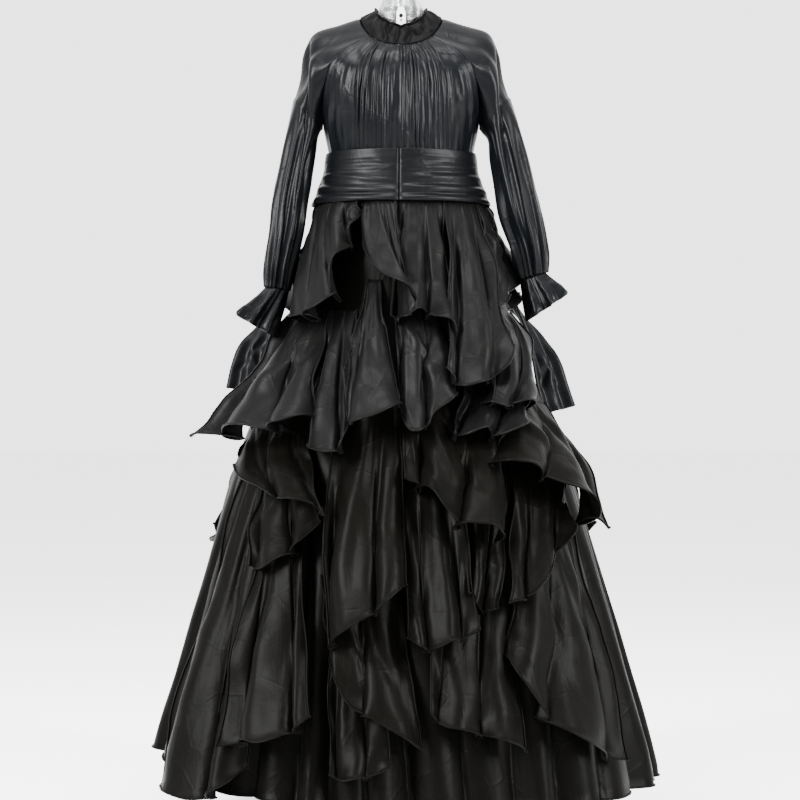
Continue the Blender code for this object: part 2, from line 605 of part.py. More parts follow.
def ring(row, side, waves, sides):
    """A gathered loop of cloth round a sleeve or cuff, starting at its inner side."""
    height, tilt, across, out, half_width, half_depth, depth = row
    angle = np.linspace(0.0, 2 * math.pi, sides, endpoint=False)
    ripple = 1.0 + depth / half_width * np.cos(waves * angle + 0.8)
    inward = np.cos(angle) * ripple
    forward = np.sin(angle) * (1.0 + depth / half_depth * np.cos(waves * angle + 0.8))
    x = across - half_width * inward
    y = -out - half_depth * forward
    z = height - tilt / 2 * inward
    return np.stack([side * x, y, z], axis=-1)


def sleeve_grid(table, side):
    opening = armhole(side)
    sides = len(opening)
    under = np.clip(np.cos(np.linspace(0.0, 2 * math.pi, sides, endpoint=False)), 0.0, 1.0)
    opening[:, 0] += side * UNDERARM_CLEARANCE * under ** 0.5
    upper = ring(table[0], side, SLEEVE_FOLDS, sides)
    angle = np.linspace(0.0, 2 * math.pi, sides, endpoint=False)
    crest = (0.5 - 0.5 * np.cos(angle)) ** CREST_WIDTH
    rows = []
    for step in range(SLEEVE_STATIONS + 1):
        w = step / SLEEVE_STATIONS
        row = opening * (1 - w) + upper * w
        lift = math.sin(math.pi * w ** CREST_DELAY) * crest
        row[:, 0] += side * SHOULDER_CREST[0] * lift
        row[:, 2] += SHOULDER_CREST[1] * lift
        rows.append(row)
    for row in table[1:]:
        rows.append(ring(row, side, SLEEVE_FOLDS, sides))
    grid = np.array(rows)
    start = grid[1] - grid[0]
    grid[0] += RAGLAN_CLEARANCE * start / np.linalg.norm(start, axis=1, keepdims=True)
    return grid if side > 0 else grid[:, ::-1]


def cuff_grid(table, side):
    sides = CUFF_WAVES * 3
    grid = np.array([ring(row, side, CUFF_WAVES, sides) for row in table])
    grid[0, :, 2] -= SEWN
    return grid if side > 0 else grid[:, ::-1]


sheet("sleeve_left", sleeve_grid(SLEEVE_LEFT, 1)[:, ::-1], SATIN, SATIN_BLUE, around=True)
sheet("sleeve_right", sleeve_grid(SLEEVE_RIGHT, -1)[:, ::-1], SATIN, SATIN_BLUE, around=True)
sheet("cuff_left", cuff_grid(CUFF_LEFT, 1)[:, ::-1], SATIN, SATIN_BLUE, around=True)
sheet("cuff_right", cuff_grid(CUFF_RIGHT, -1)[:, ::-1], SATIN, SATIN_BLUE, around=True)


# Collar: a crumpled stand round the neck


def collar_grid(sides, rows):
    turn = np.linspace(-180.0, 180.0, sides, endpoint=False)
    angle = np.radians(turn)
    away = np.abs(turn)
    sign = np.sign(turn)
    low = np.stack([sign * smooth(COLLAR_SEAM, away, 1), -smooth(COLLAR_SEAM, away, 2),
                    smooth(COLLAR_SEAM, away, 3)], axis=-1)
    radius = smooth(COLLAR_TOP, away, 1)
    high = np.stack([radius * np.sin(angle), -radius * np.cos(angle),
                     smooth(COLLAR_TOP, away, 2)], axis=-1)
    grid = []
    for step in range(rows):
        t = step / (rows - 1)
        row = high * (1 - t) + low * t
        bulge = CRUMPLE_DEPTH * math.sin(math.pi * t) * np.cos(COLLAR_CRUMPLES * angle + 0.7)
        row[:, 0] += bulge * np.sin(angle)
        row[:, 1] -= bulge * np.cos(angle)
        grid.append(row)
    grid = np.array(grid)
    grid[-1, :, 2] += COLLAR_CLEARANCE
    return grid


sheet("collar", collar_grid(32, 4), SATIN, COLLAR_BLACK, around=True)


# Sash: pleated round the waist, knotted behind, with two tails


def sash_sheet(name, first, last, columns):
    turn = np.linspace(first, last, columns)
    angle = np.radians(turn)
    top = SASH_PROFILE[-1][0]
    low = SASH_PROFILE[0][0]
    pleat = (top - low) / SASH_PLEATS
    rows = []
    for number in range(SASH_PLEATS):
        for share, lift in ((0.0, 0.0), (PLEAT_EDGE, 1.0)):
            height = top - pleat * (number + share)
            rows.append((height, PLEAT_LIFT * lift))
    rows.append((low, 0.0))
    grid = []
    for height, lift in rows:
        lift = lift * (SIDE_PLEAT_SHARE + (1.0 - SIDE_PLEAT_SHARE) * np.cos(angle) ** 2)
        wide = smooth(SASH_PROFILE, height, 1) + lift
        deep = smooth(SASH_PROFILE, height, 2) + lift
        sag = SASH_SAG * math.sin(math.pi * (top - height) / (top - low)) * np.cos(angle) ** 2
        grid.append(np.stack([wide * np.sin(angle), -deep * np.cos(angle), height - sag], axis=-1))
    grid = np.array(grid)
    normal = normals_of(grid, False)
    for edge in (0, -1):
        if abs(math.cos(angle[edge])) < 0.1:
            normal[:, edge, 1] = 0.0
    return sheet(name, grid, SATIN, SATIN_BLUE, normal=normal)


SEAM_TURN = math.degrees(SEAM / SASH_PROFILE[-1][1]) / 2
sash_sheet("sash_left", SASH_CENTRE_TURN + SEAM_TURN, 90 - SEAM_TURN, 7)
sash_sheet("sash_right", -90 + SEAM_TURN, SASH_CENTRE_TURN - SEAM_TURN, 7)
sash_sheet("sash_back", 90 + SEAM_TURN, 270 - SEAM_TURN, 11)


def tail_grid(table, side, columns, rows):
    """A ribbon along a line; sideways_turn says which way its face looks."""
    t = np.linspace(0.0, 1.0, rows)
    line = through(table, t)
    along = np.gradient(line[:, :3], axis=0)
    grid = []
    for (across, out, height, look, half_width), way in zip(line, along):
        facing = np.array([math.sin(math.radians(look)), -math.cos(math.radians(look)), 0.0])
        path = way / np.linalg.norm(way)
        broad = np.cross(facing, path)
        broad /= np.linalg.norm(broad)
        face = np.cross(path, broad)
        row = []
        for u in np.linspace(-1.0, 1.0, columns):
            curl = TAIL_CURL * math.cos(2 * math.pi * TAIL_CURLS * u) * half_width / TAIL_HALF_WIDTH
            centre = np.array([across, out, height])
            spot = centre + broad * u * half_width + face * curl
            row.append((side * spot[0], -spot[1], spot[2]))
        grid.append(row)
    grid = np.array(grid)
    return grid if side > 0 else grid[:, ::-1]


sheet("tail_left", tail_grid(TAIL_LEFT, 1, 6, 9), SATIN, SATIN_BLACK)
sheet("tail_right", tail_grid(TAIL_RIGHT, -1, 6, 9), SATIN, SATIN_BLACK)


def lump(name, centre, radii, look):
    """A closed rounded bundle of cloth."""
    rings = 6
    sides = 12
    points = [(centre[0], centre[1], centre[2] + radii[2])]
    for r in range(1, rings):
        polar = math.pi * r / rings
        for c in range(sides):
            angle = 2 * math.pi * c / sides
            crease = 1.0 + KNOT_CREASE_DEPTH * math.cos(KNOT_CREASES * angle)
            points.append((centre[0] + radii[0] * crease * math.sin(polar) * math.cos(angle),
                           centre[1] + radii[1] * crease * math.sin(polar) * math.sin(angle),
                           centre[2] + radii[2] * math.cos(polar)))
    points.append((centre[0], centre[1], centre[2] - radii[2]))
    last = len(points) - 1
    faces = []
    for c in range(sides):
        after = (c + 1) % sides
        faces.append((0, 1 + c, 1 + after))
        faces.append((last, last - sides + after, last - sides + c))
        for r in range(rings - 2):
            a = 1 + r * sides + c
            b = 1 + r * sides + after
            faces.append((a, a + sides, b + sides, b))
    return add(name, points, faces, look)


lump("sash_knot", KNOT_CENTRE, KNOT_RADII, SATIN_BLUE)


# Clear form: one hollow shell, open below, closed by a cap on the neck


def bell(name, profile, sides, wall, cap_inside, look):
    angle = np.linspace(0.0, 2 * math.pi, sides, endpoint=False)
    outer = []
    inner = []
    for height, wide, deep in profile:
        outer.append([(wide * math.sin(a), -deep * math.cos(a), height) for a in angle])
        if height < cap_inside:
            inner.append([((wide - wall) * math.sin(a), -(deep - wall) * math.cos(a), height)
                          for a in angle])
    points = [(0.0, 0.0, profile[0][0])] + [p for row in outer for p in row]
    start = len(points)
    points += [(0.0, 0.0, inner[0][0][2])] + [p for row in inner for p in row]
    faces = []
    for c in range(sides):
        after = (c + 1) % sides
        faces.append((0, 1 + c, 1 + after))
        faces.append((start, start + 1 + after, start + 1 + c))
        for r in range(len(outer) - 1):
            a = 1 + r * sides
            faces.append((a + c, a + sides + c, a + sides + after, a + after))
        for r in range(len(inner) - 1):
            a = start + 1 + r * sides
            faces.append((a + c, a + after, a + sides + after, a + sides + c))
        low = 1 + (len(outer) - 1) * sides
        low_inside = start + 1 + (len(inner) - 1) * sides
        faces.append((low + c, low_inside + c, low_inside + after, low + after))
    return add(name, points, faces, look)


bell("form_shell", FORM_PROFILE, FORM_SIDES, FORM_WALL, CAP_INSIDE, CLEAR)


def turned(name, profile, sides, look):
    """A solid of revolution from radius and height pairs, bottom to top."""
    points = [(0.0, 0.0, profile[0][1])]
    for radius, height in profile:
        for c in range(sides):
            angle = 2 * math.pi * c / sides
            points.append((radius * math.cos(angle), radius * math.sin(angle), height))
    points.append((0.0, 0.0, profile[-1][1]))
    last = len(points) - 1
    faces = []
    for c in range(sides):
        after = (c + 1) % sides
        faces.append((0, 1 + after, 1 + c))
        faces.append((last, last - sides + c, last - sides + after))
        for r in range(len(profile) - 1):
            a = 1 + r * sides
            faces.append((a + c, a + after, a + sides + after, a + sides + c))
    return add(name, points, faces, look)


turned("form_foot", [(FOOT_RADIUS, 0.0), (FOOT_RADIUS, FOOT_THICKNESS - FOOT_BEVEL),
                     (FOOT_RADIUS - FOOT_BEVEL, FOOT_THICKNESS)], FOOT_SIDES, STEEL)
POST_TOP = FORM_PROFILE[1][0] - SEAM
turned("form_post", [(POST_RADIUS, FOOT_THICKNESS + SEAM), (POST_RADIUS, POST_TOP)],
       POST_SIDES, STEEL)


# Tab: a flat clear strip with one round hole, hung in front of the neck's rim


def tab(name):
    sides = 16
    outline = []
    hole = []
    low = TAB_BOTTOM - TAB_HOLE_HEIGHT
    high = TAB_TOP - TAB_HOLE_HEIGHT
    for c in range(sides):
        angle = 2 * math.pi * (c + 0.5) / sides
        reach = max(abs(math.cos(angle)) / TAB_HALF_WIDTH,
                    max(math.sin(angle) / high, math.sin(angle) / low))
        outline.append((math.cos(angle) / reach, math.sin(angle) / reach))
        hole.append((TAB_HOLE_RADIUS * math.cos(angle), TAB_HOLE_RADIUS * math.sin(angle)))
    points = []
    for y in (-TAB_BACK - TAB_THICKNESS, -TAB_BACK):
        for loop in (outline, hole):
            points += [(x, y, TAB_HOLE_HEIGHT + z) for x, z in loop]
    faces = []
    for c in range(sides):
        after = (c + 1) % sides
        front_out, front_in, back_out, back_in = (sides * k for k in range(4))
        faces.append((front_out + c, front_out + after, front_in + after, front_in + c))
        faces.append((back_out + c, back_in + c, back_in + after, back_out + after))
        faces.append((front_out + c, back_out + c, back_out + after, front_out + after))
        faces.append((front_in + c, front_in + after, back_in + after, back_in + c))
    return add(name, points, faces, CLEAR)


tab("form_tab")
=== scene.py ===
"""A gathered satin maxi dress with a pleated sash and cascading flounces, on a clear limbless form."""
import math

import bpy
import numpy as np
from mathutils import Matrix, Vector, noise


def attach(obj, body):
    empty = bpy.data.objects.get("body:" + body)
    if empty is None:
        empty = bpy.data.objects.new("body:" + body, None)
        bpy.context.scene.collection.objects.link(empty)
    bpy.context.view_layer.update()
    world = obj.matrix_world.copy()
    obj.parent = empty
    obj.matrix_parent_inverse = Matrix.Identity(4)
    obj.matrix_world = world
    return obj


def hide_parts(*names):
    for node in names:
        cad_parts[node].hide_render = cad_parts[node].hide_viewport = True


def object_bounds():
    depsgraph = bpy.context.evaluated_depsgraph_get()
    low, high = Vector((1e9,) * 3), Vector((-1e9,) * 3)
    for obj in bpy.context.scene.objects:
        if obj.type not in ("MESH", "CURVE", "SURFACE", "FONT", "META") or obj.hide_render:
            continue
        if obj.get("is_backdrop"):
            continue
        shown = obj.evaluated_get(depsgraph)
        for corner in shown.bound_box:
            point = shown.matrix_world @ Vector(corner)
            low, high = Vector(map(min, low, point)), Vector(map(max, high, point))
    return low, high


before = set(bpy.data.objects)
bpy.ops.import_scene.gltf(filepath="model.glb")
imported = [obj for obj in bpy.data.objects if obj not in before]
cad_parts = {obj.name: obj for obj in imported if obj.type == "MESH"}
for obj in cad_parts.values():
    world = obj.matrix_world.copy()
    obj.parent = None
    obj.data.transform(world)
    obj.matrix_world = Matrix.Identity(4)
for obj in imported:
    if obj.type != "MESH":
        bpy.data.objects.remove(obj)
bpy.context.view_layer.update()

# Camera: level with the middle of the dress and four metres in front of it, as in the photograph.
# The long lens keeps the sides of the skirt almost straight.
CAMERA_DISTANCE = 4.0
CAMERA_HEIGHT = 0.81
CAMERA_LENS = 94.7
CAMERA_SHIFT = -0.00125
camera_data = bpy.data.cameras.new("camera")
camera_data.lens = CAMERA_LENS
camera_data.sensor_width = 36.0
camera_data.shift_x = CAMERA_SHIFT
camera = bpy.data.objects.new("camera", camera_data)
camera.location = (0.0, -CAMERA_DISTANCE, CAMERA_HEIGHT)
camera.rotation_euler = (math.pi / 2, 0.0, 0.0)
bpy.context.collection.objects.link(camera)
bpy.context.scene.camera = camera


# Underskirt: two half circles of black satin, cut wide at the hem and sewn together at the sides.
# It hangs from the waist seam in loose folds that deepen towards the hem, and every flounce is
# stitched to it.
SKIRT_COLUMNS = 96
SKIRT_PROFILE = [
    # height, half_width, half_depth, fold_depth, hem_share
    (0.105, 0.468, 0.386, 0.0215, 1.0),
    (0.21, 0.443, 0.365, 0.019, 0.55),
    (0.38, 0.398, 0.326, 0.013, 0.15),
    (0.525, 0.36, 0.292, 0.0065, 0.0),
    (0.694, 0.312, 0.25, 0.0012, 0.0),
    (0.797, 0.272, 0.218, 0.0, 0.0),
    (0.93, 0.222, 0.184, 0.0, 0.0),
    (1.023, 0.187, 0.156, 0.0, 0.0),
    (1.1, 0.168, 0.136, 0.0, 0.0),
    (1.175, 0.155, 0.12, 0.0, 0.0),
    (1.225, 0.138, 0.105, 0.0, 0.0),
]
HEM_LIFT = [
    # turn, lift
    (-180.0, 0.0),
    (-110.0, 0.03),
    (-80.0, 0.055),
    (-50.0, 0.02),
    (0.0, 0.0),
    (60.0, -0.008),
    (90.0, -0.012),
    (180.0, 0.0),
]
SKIRT_TOP = 1.2245
SKIRT_STEPS = 260
SKIRT_LEVELS = 60
SEAM_FADE = 6.0
SATIN = 0.0010
ROLL = 0.0017


def shares(count):
    return np.linspace(0.0, 1.0, count)


def unit(number):
    return np.clip(number, 0.0, 1.0)


def smooth(table, at, column):
    """Reads one column of a table as a smooth curve over its first column."""
    rows = np.array(sorted(table), float)
    x = rows[:, 0]
    y = rows[:, column]
    slope = np.gradient(y, x)
    at = np.clip(at, x[0], x[-1])
    k = np.clip(np.searchsorted(x, at) - 1, 0, len(x) - 2)
    span = x[k + 1] - x[k]
    f = (at - x[k]) / span
    start = (1 + 2 * f) * (1 - f) ** 2 * y[k] + f * (1 - f) ** 2 * span * slope[k]
    end = f * f * (3 - 2 * f) * y[k + 1] + f * f * (f - 1) * span * slope[k + 1]
    return start + end


def through(rows, at):
    """A smooth curve through rows of numbers that are evenly spaced from 0 to 1."""
    rows = np.array(rows, float)
    table = np.column_stack([shares(len(rows)), rows]).tolist()
    return np.stack([smooth(table, at, i + 1) for i in range(rows.shape[1])], axis=-1)


def lumps(points, size, seed):
    """Soft unevenness from -1 to 1 over a grid of points, with lumps of a given size in metres."""
    flat = points.reshape(-1, points.shape[-1]) / size
    shift = Vector((seed * 7.31, seed * 3.17, seed * 1.93))
    found = [noise.noise(Vector(p) + shift) for p in flat.tolist()]
    return np.array(found).reshape(points.shape[:-1])


def wander(along, pace, seed):
    """A slow wave from -1 to 1 that never repeats, over a row of numbers."""
    return np.array([noise.noise(Vector((v * pace, seed * 5.1, 0.3))) for v in along])


def unit_length(ways):
    return ways / np.maximum(np.linalg.norm(ways, axis=-1, keepdims=True), 1e-9)


def creases(rows, across, down, wide, long):
    """Soft ridges and troughs along straight lines on a panel of a given width and length."""
    total = np.zeros((len(down), len(across)))
    x = across[None] * wide
    y = down[:, None] * long
    for x0, y0, x1, y1, half, height in rows:
        start = np.array((x0 * wide, y0 * long))
        way = np.array((x1 * wide, y1 * long)) - start
        share = ((x - start[0]) * way[0] + (y - start[1]) * way[1]) / (way ** 2).sum()
        near = unit(share)
        off = np.hypot(x - start[0] - near * way[0], y - start[1] - near * way[1])
        fade = unit(4.0 * near * (1.0 - near) + 0.15)
        total += height * fade * np.exp(-(off / half) ** 2)
    return total


def normals_of(grid, around):
    """Outward directions of a grid of points whose rows run down and columns run to the left."""
    if around:
        across = np.roll(grid, -1, 1) - np.roll(grid, 1, 1)
    else:
        across = np.gradient(grid, axis=1)
    return unit_length(np.cross(np.gradient(grid, axis=0), across))


def raise_by(grid, amount, around=False):
    """Moves each point of a cloth out along its own normal."""
    return grid + normals_of(grid, around) * amount[..., None]


def rolled(grid, around, sides):
    """Adds a narrow rolled hem under the last row of a cloth, and along both its sides."""
    normal = normals_of(grid, around)
    rows = [grid]
    down = unit_length(grid[-1] - grid[-2])
    turns = [math.radians(bend) for bend in (70.0, 150.0, 230.0, 300.0)]
    for a in turns:
        rows.append((grid[-1] + ROLL * (normal[-1] * (1 - math.cos(a)) + down * math.sin(a)))[None])
    made = np.concatenate(rows)
    if not sides:
        return made
    normal = np.concatenate([normal] + [normal[-1:]] * len(turns))
    before, after = [], []
    for edge, inner, found in ((0, 1, before), (-1, -2, after)):
        away = unit_length(made[:, edge] - made[:, inner])
        for a in turns:
            spot = normal[:, edge] * (1 - math.cos(a)) + away * math.sin(a)
            found.append((made[:, edge] + ROLL * spot)[:, None])
    return np.concatenate(before[::-1] + [made] + after, axis=1)


def cut_of(grid, around):
    """Width, length and area of the flat cut, from the lengths of the cloth's own threads."""
    closed = np.concatenate([grid, grid[:, :1]], axis=1) if around else grid
    widths = np.linalg.norm(np.diff(closed, axis=1), axis=2).sum(axis=1)
    lengths = np.linalg.norm(np.diff(grid, axis=0), axis=2).sum(axis=0)
    corner, below = closed[:-1, :-1], closed[1:, :-1]
    beside, across = closed[:-1, 1:], closed[1:, 1:]
    area = np.linalg.norm(np.cross(below - corner, beside - corner), axis=2).sum() / 2
    area += np.linalg.norm(np.cross(below - across, beside - across), axis=2).sum() / 2
    width = float(widths.mean())
    return width, max(float(lengths.mean()), float(area) / width * 1.001), float(area)


def put_on(piece, node):
    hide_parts(node)
    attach(piece, "root")


def cloth(name, grid, finish, node, around=False, hem=False, sides=False):
    """A satin panel from a grid of points, given its thickness, its cut and its place."""
    if hem:
        grid = rolled(grid, around, sides)
    rows, columns = grid.shape[:2]
    row, column = np.divmod(np.arange((rows - 1) * (columns - 1 + around)), columns - 1 + around)
    here = row * columns + column
    beside = row * columns + (column + 1) % columns
    faces = np.stack([here, here + columns, beside + columns, beside], axis=1)
    mesh = bpy.data.meshes.new(name)
    mesh.from_pydata(grid.reshape(-1, 3).tolist(), [], faces.tolist())
    down = np.cumsum([0.0, *np.linalg.norm(np.diff(grid, axis=0), axis=2).mean(1)])
    across = np.cumsum([0.0, *np.linalg.norm(np.diff(grid, axis=1), axis=2).mean(0)])
    across = np.append(across, across[-1] * columns / (columns - 1))
    left, right, top, low = across[column], across[column + 1], down[row], down[row + 1]
    spots = np.stack([left, top, left, low, right, low, right, top], axis=1)
    mesh.uv_layers.new(name="cut").data.foreach_set("uv", spots.ravel())
    mesh.polygons.foreach_set("use_smooth", np.ones(len(mesh.polygons), bool))
    mesh.update()
    piece = bpy.data.objects.new(name, mesh)
    bpy.context.collection.objects.link(piece)
    mesh.materials.append(finish)
    wall = piece.modifiers.new("thickness", "SOLIDIFY")
    wall.thickness = SATIN
    wall.offset = 0.0
    width, length, area = cut_of(grid, around)
    put_on(piece, node)


class Shade:
    """A shader socket that can be added to, multiplied and so on, as a number can."""

    def __init__(self, tree, socket):
        self.tree = tree
        self.socket = socket

    def maths(self, operation, *values):
        made = self.tree.nodes.new("ShaderNodeMath")
        made.operation = operation
        for place, value in enumerate(values):
            if isinstance(value, Shade):
                self.tree.links.new(value.socket, made.inputs[place])
            else:
                made.inputs[place].default_value = value
        return Shade(self.tree, made.outputs[0])

    def __add__(self, other):
        return self.maths("ADD", self, other)

    def __sub__(self, other):
        return self.maths("SUBTRACT", self, other)

    def __rsub__(self, other):
        return self.maths("SUBTRACT", other, self)

    def __mul__(self, other):
        return self.maths("MULTIPLY", self, other)

    def __pow__(self, other):
        return self.maths("POWER", self, other)

    __radd__ = __add__
    __rmul__ = __mul__

    def clipped(self):
        return self.maths("MINIMUM", self.maths("MAXIMUM", self, 0.0), 1.0)


class Finish:
    """One material, with its Principled shader and a short way to add any other node."""

    def __init__(self, name):
        self.material = bpy.data.materials.new(name)
        self.material.use_nodes = True
        self.tree = self.material.node_tree
        self.shader = self.tree.nodes["Principled BSDF"]

    def node(self, kind, output, settings=None, **inputs):
        made = self.tree.nodes.new(kind)
        for setting, value in (settings or {}).items():
            setattr(made, setting, value)
        self.feed(made, **inputs)
        return Shade(self.tree, made.outputs[output])

    def feed(self, made, **inputs):
        for place, value in inputs.items():
            socket = made.inputs[place.replace("_", " ")]
            if isinstance(value, Shade):
                self.tree.links.new(value.socket, socket)
            else:
                socket.default_value = value

    def surface(self, **values):
        self.feed(self.shader, **values)

    def mixed(self, factor, first, second):
        """A colour between two others."""
        made = self.node("ShaderNodeMix", 2, {"data_type": "RGBA"}, Factor=factor)
        made.socket.node.inputs[6].default_value = (*first, 1.0)
        made.socket.node.inputs[7].default_value = (*second, 1.0)
        return made

    def streaked(self, place, scale, **settings):
        """Noise drawn out by its own scale in each direction."""
        place = self.node("ShaderNodeMapping", 0, Vector=place, Scale=scale)
        return self.node("ShaderNodeTexNoise", 0, Vector=place, Scale=1.0, **settings)


def satin(name, dark, light, rough, shine, puckers, drape):
    """Black satin: a smooth floating weave with a soft broad shine, faint streaks and crease lines. The
    crease lines are also drawn a little lighter in its colour: a painted highlight along the creases.
    """
    made = Finish(name)
    cut = made.node("ShaderNodeUVMap", 0, {"uv_map": "cut"})
    place = made.node("ShaderNodeTexCoord", 3)
    fine = made.streaked(cut, (240.0, 12.0, 1.0), Detail=3.0, Roughness=0.55)
    broad = made.node("ShaderNodeTexNoise", 0, Vector=place, Scale=9.0, Detail=4.0, Roughness=0.6)
    crumple = made.node("ShaderNodeTexNoise", 0, Vector=place, Scale=30.0, Detail=5.0,
                        Roughness=0.62, Distortion=0.8)
    lines = made.node("ShaderNodeTexVoronoi", 0, {"feature": "DISTANCE_TO_EDGE"},
                      Vector=place, Scale=11.0, Randomness=1.0)
    ridge = (1.0 - lines * 26.0).clipped()
    hang = made.streaked(cut, (95.0, 7.0, 1.0), Detail=3.0, Distortion=0.6)
    # ridge lightens the tone a little along the crease lines: a painted highlight over the creases' real
    # bump.
    tone = (broad * 0.75 + fine * 0.45 - 0.1 + ridge * 0.10).clipped()
    made.surface(Base_Color=made.mixed(tone, dark, light))
    made.surface(Roughness=(rough + (fine - 0.5) * 0.10 + (broad - 0.5) * 0.14).clipped())
    threads = made.node("ShaderNodeMapping", 0, Vector=cut, Scale=(2600.0, 900.0, 1.0))
    twill = made.node("ShaderNodeTexWave", 1, {"wave_type": "BANDS", "bands_direction": "DIAGONAL"},
                      Vector=threads, Scale=0.5, Distortion=0.4, Detail=1.0)
    height = crumple * puckers + ridge * 0.0003 + hang * drape + fine * 0.00012 + twill * 0.00002
    made.surface(Normal=made.node("ShaderNodeBump", 0, Strength=0.75, Distance=1.0, Height=height))
    made.surface(Specular_IOR_Level=shine, Sheen_Weight=0.004, Sheen_Roughness=0.4)
    return made.material


SKIRT_BLACK = satin("skirt_satin", (0.0006, 0.0006, 0.0006), (0.0022, 0.0022, 0.0021), 0.40, 0.032,
                    0.0013, 0.0006)
# The underskirt's satin is the skirt satin in darker colours and with less shine: painted shade on the
# same cloth.
UNDER_PAINTED_SHADE_BLACK = satin("underskirt_satin_painted_shade", (0.0003, 0.0003, 0.0002), (0.0012, 0.0011, 0.0009), 0.38,
                    0.018, 0.0009, 0.0008)


def skirt_point(turn, height, out):
    """A point of the skirt's cone, moved straight out by out."""
    angle = np.radians(turn)
    wide = smooth(SKIRT_PROFILE, height, 1) + out
    deep = smooth(SKIRT_PROFILE, height, 2) + out
    return np.stack([wide * np.sin(angle), -deep * np.cos(angle), height + 0 * turn], axis=-1)


def skirt_fold(turn, height):
    """How far the underskirt's loose folds stand out at a turn and height."""
    angle = np.radians(turn)
    drift = angle + 0.08 * np.sin(3 * angle + 3 * height) + 0.035 * np.sin(7 * angle + 2.0)
    round_top = 1.6 * np.abs(np.cos(15.5 * drift)) ** 0.7 - 0.9
    wave = 0.85 * round_top + 0.35 * np.cos(19 * drift + 1.3) + 0.35 * np.cos(7 * angle + 1.0)
    return smooth(SKIRT_PROFILE, height, 3) * wave


def skirt_panel(first, last):
    """Half of the underskirt, between two turns."""
    turn = np.linspace(first, last, SKIRT_STEPS)
    rows = []
    for level in np.linspace(SKIRT_TOP, SKIRT_PROFILE[0][0], SKIRT_LEVELS):
        height = level + smooth(HEM_LIFT, (turn + 180.0) % 360.0 - 180.0, 1) * \
            smooth(SKIRT_PROFILE, level, 4)
        rows.append(skirt_point(turn, height, skirt_fold(turn, level)))
    grid = np.array(rows)
    uneven = 0.0035 * lumps(grid, 0.11, 1) + 0.0016 * lumps(grid * (1, 1, 0.3), 0.03, 2)
    from_seam = unit(np.minimum(turn - first, last - turn) / SEAM_FADE)
    return raise_by(grid, uneven * shares(len(rows))[:, None] * from_seam)


for side, first, last in (("front", -89.97, 89.97), ("back", 90.03, 269.97)):
    cloth(f"underskirt_{side}_satin", skirt_panel(first, last), UNDER_PAINTED_SHADE_BLACK,
          f"underskirt_{side}", hem=True)


# Flounces on the front: curved strips of the same satin, each gathered along its top edge and
# stitched to the underskirt there. Their free edges are rolled and fall in deep uneven waves.
FRONT_FLOUNCES = [
    # name, first, last, top_first, top_last, waves, depth, phase, swell
    ("waist_1", -23, -8, 1.185, 1.185, 4.0, 0.013, 0.4, 0.6),
    ("waist_2", -8, -1, 1.185, 1.185, 1.5, 0.008, 2.2, 0.8),
    ("waist_3", -1, 8, 1.185, 1.185, 2.5, 0.01, 1.0, 0.8),
    ("waist_4", 8, 16, 1.185, 1.185, 2.0, 0.011, 0.5, 0.75),
    ("waist_5", 16, 23, 1.185, 1.185, 2.0, 0.008, 2.0, 0.55),
    ("hip_1", -19, -10, 0.985, 0.975, 2.5, 0.017, 0.2, 0.85),
    ("hip_2", -10, -6, 0.975, 0.975, 2.0, 0.012, 1.2, 0.9),
    ("hip_3", -5, -3, 1.03, 1.03, 1.5, 0.01, 0.0, 0.9),
    ("hip_4", -1, 6, 1.0, 1.0, 2.0, 0.012, 2.6, 0.9),
    ("hip_5", 7, 16, 0.86, 0.86, 2.5, 0.014, 0.8, 0.9),
    ("hip_6", 13, 22, 0.985, 0.975, 2.0, 0.008, 1.8, 0.85),
    ("knee_1", -20, -9, 0.8, 0.745, 2.5, 0.011, 2.4, 0.85),
    ("knee_2", -14, -9, 0.72, 0.72, 2.0, 0.008, 0.6, 0.9),
    ("knee_3", -7, 0, 0.82, 0.82, 2.0, 0.012, 1.4, 0.95),
    ("knee_4", 0, 11, 0.82, 0.81, 2.5, 0.016, 0.0, 0.9),
    ("knee_5", 11, 22, 0.815, 0.805, 2.5, 0.014, 2.0, 0.85),
    ("knee_6", 10, 17, 0.72, 0.71, 2.0, 0.011, 0.2, 0.9),
    ("knee_7", 5, 10, 0.69, 0.69, 2.0, 0.008, 1.0, 0.9),
    ("hem_1", -17, -12, 0.68, 0.68, 2.0, 0.011, 1.6, 0.9),
    ("hem_2", -12, -8, 0.66, 0.66, 2.0, 0.012, 0.4, 0.9),
    ("hem_3", -6, 0, 0.5, 0.49, 2.0, 0.01, 2.8, 0.85),
    ("hem_4", -5, -1, 0.4, 0.39, 2.0, 0.008, 0.8, 0.9),
    ("hem_5", 0, 5, 0.69, 0.69, 2.0, 0.011, 0.0, 0.9),
    ("hem_6", 2, 8, 0.5, 0.5, 2.0, 0.01, 1.1, 0.85),
    ("hem_7", 10, 17, 0.63, 0.62, 2.5, 0.011, 2.0, 0.85),
]
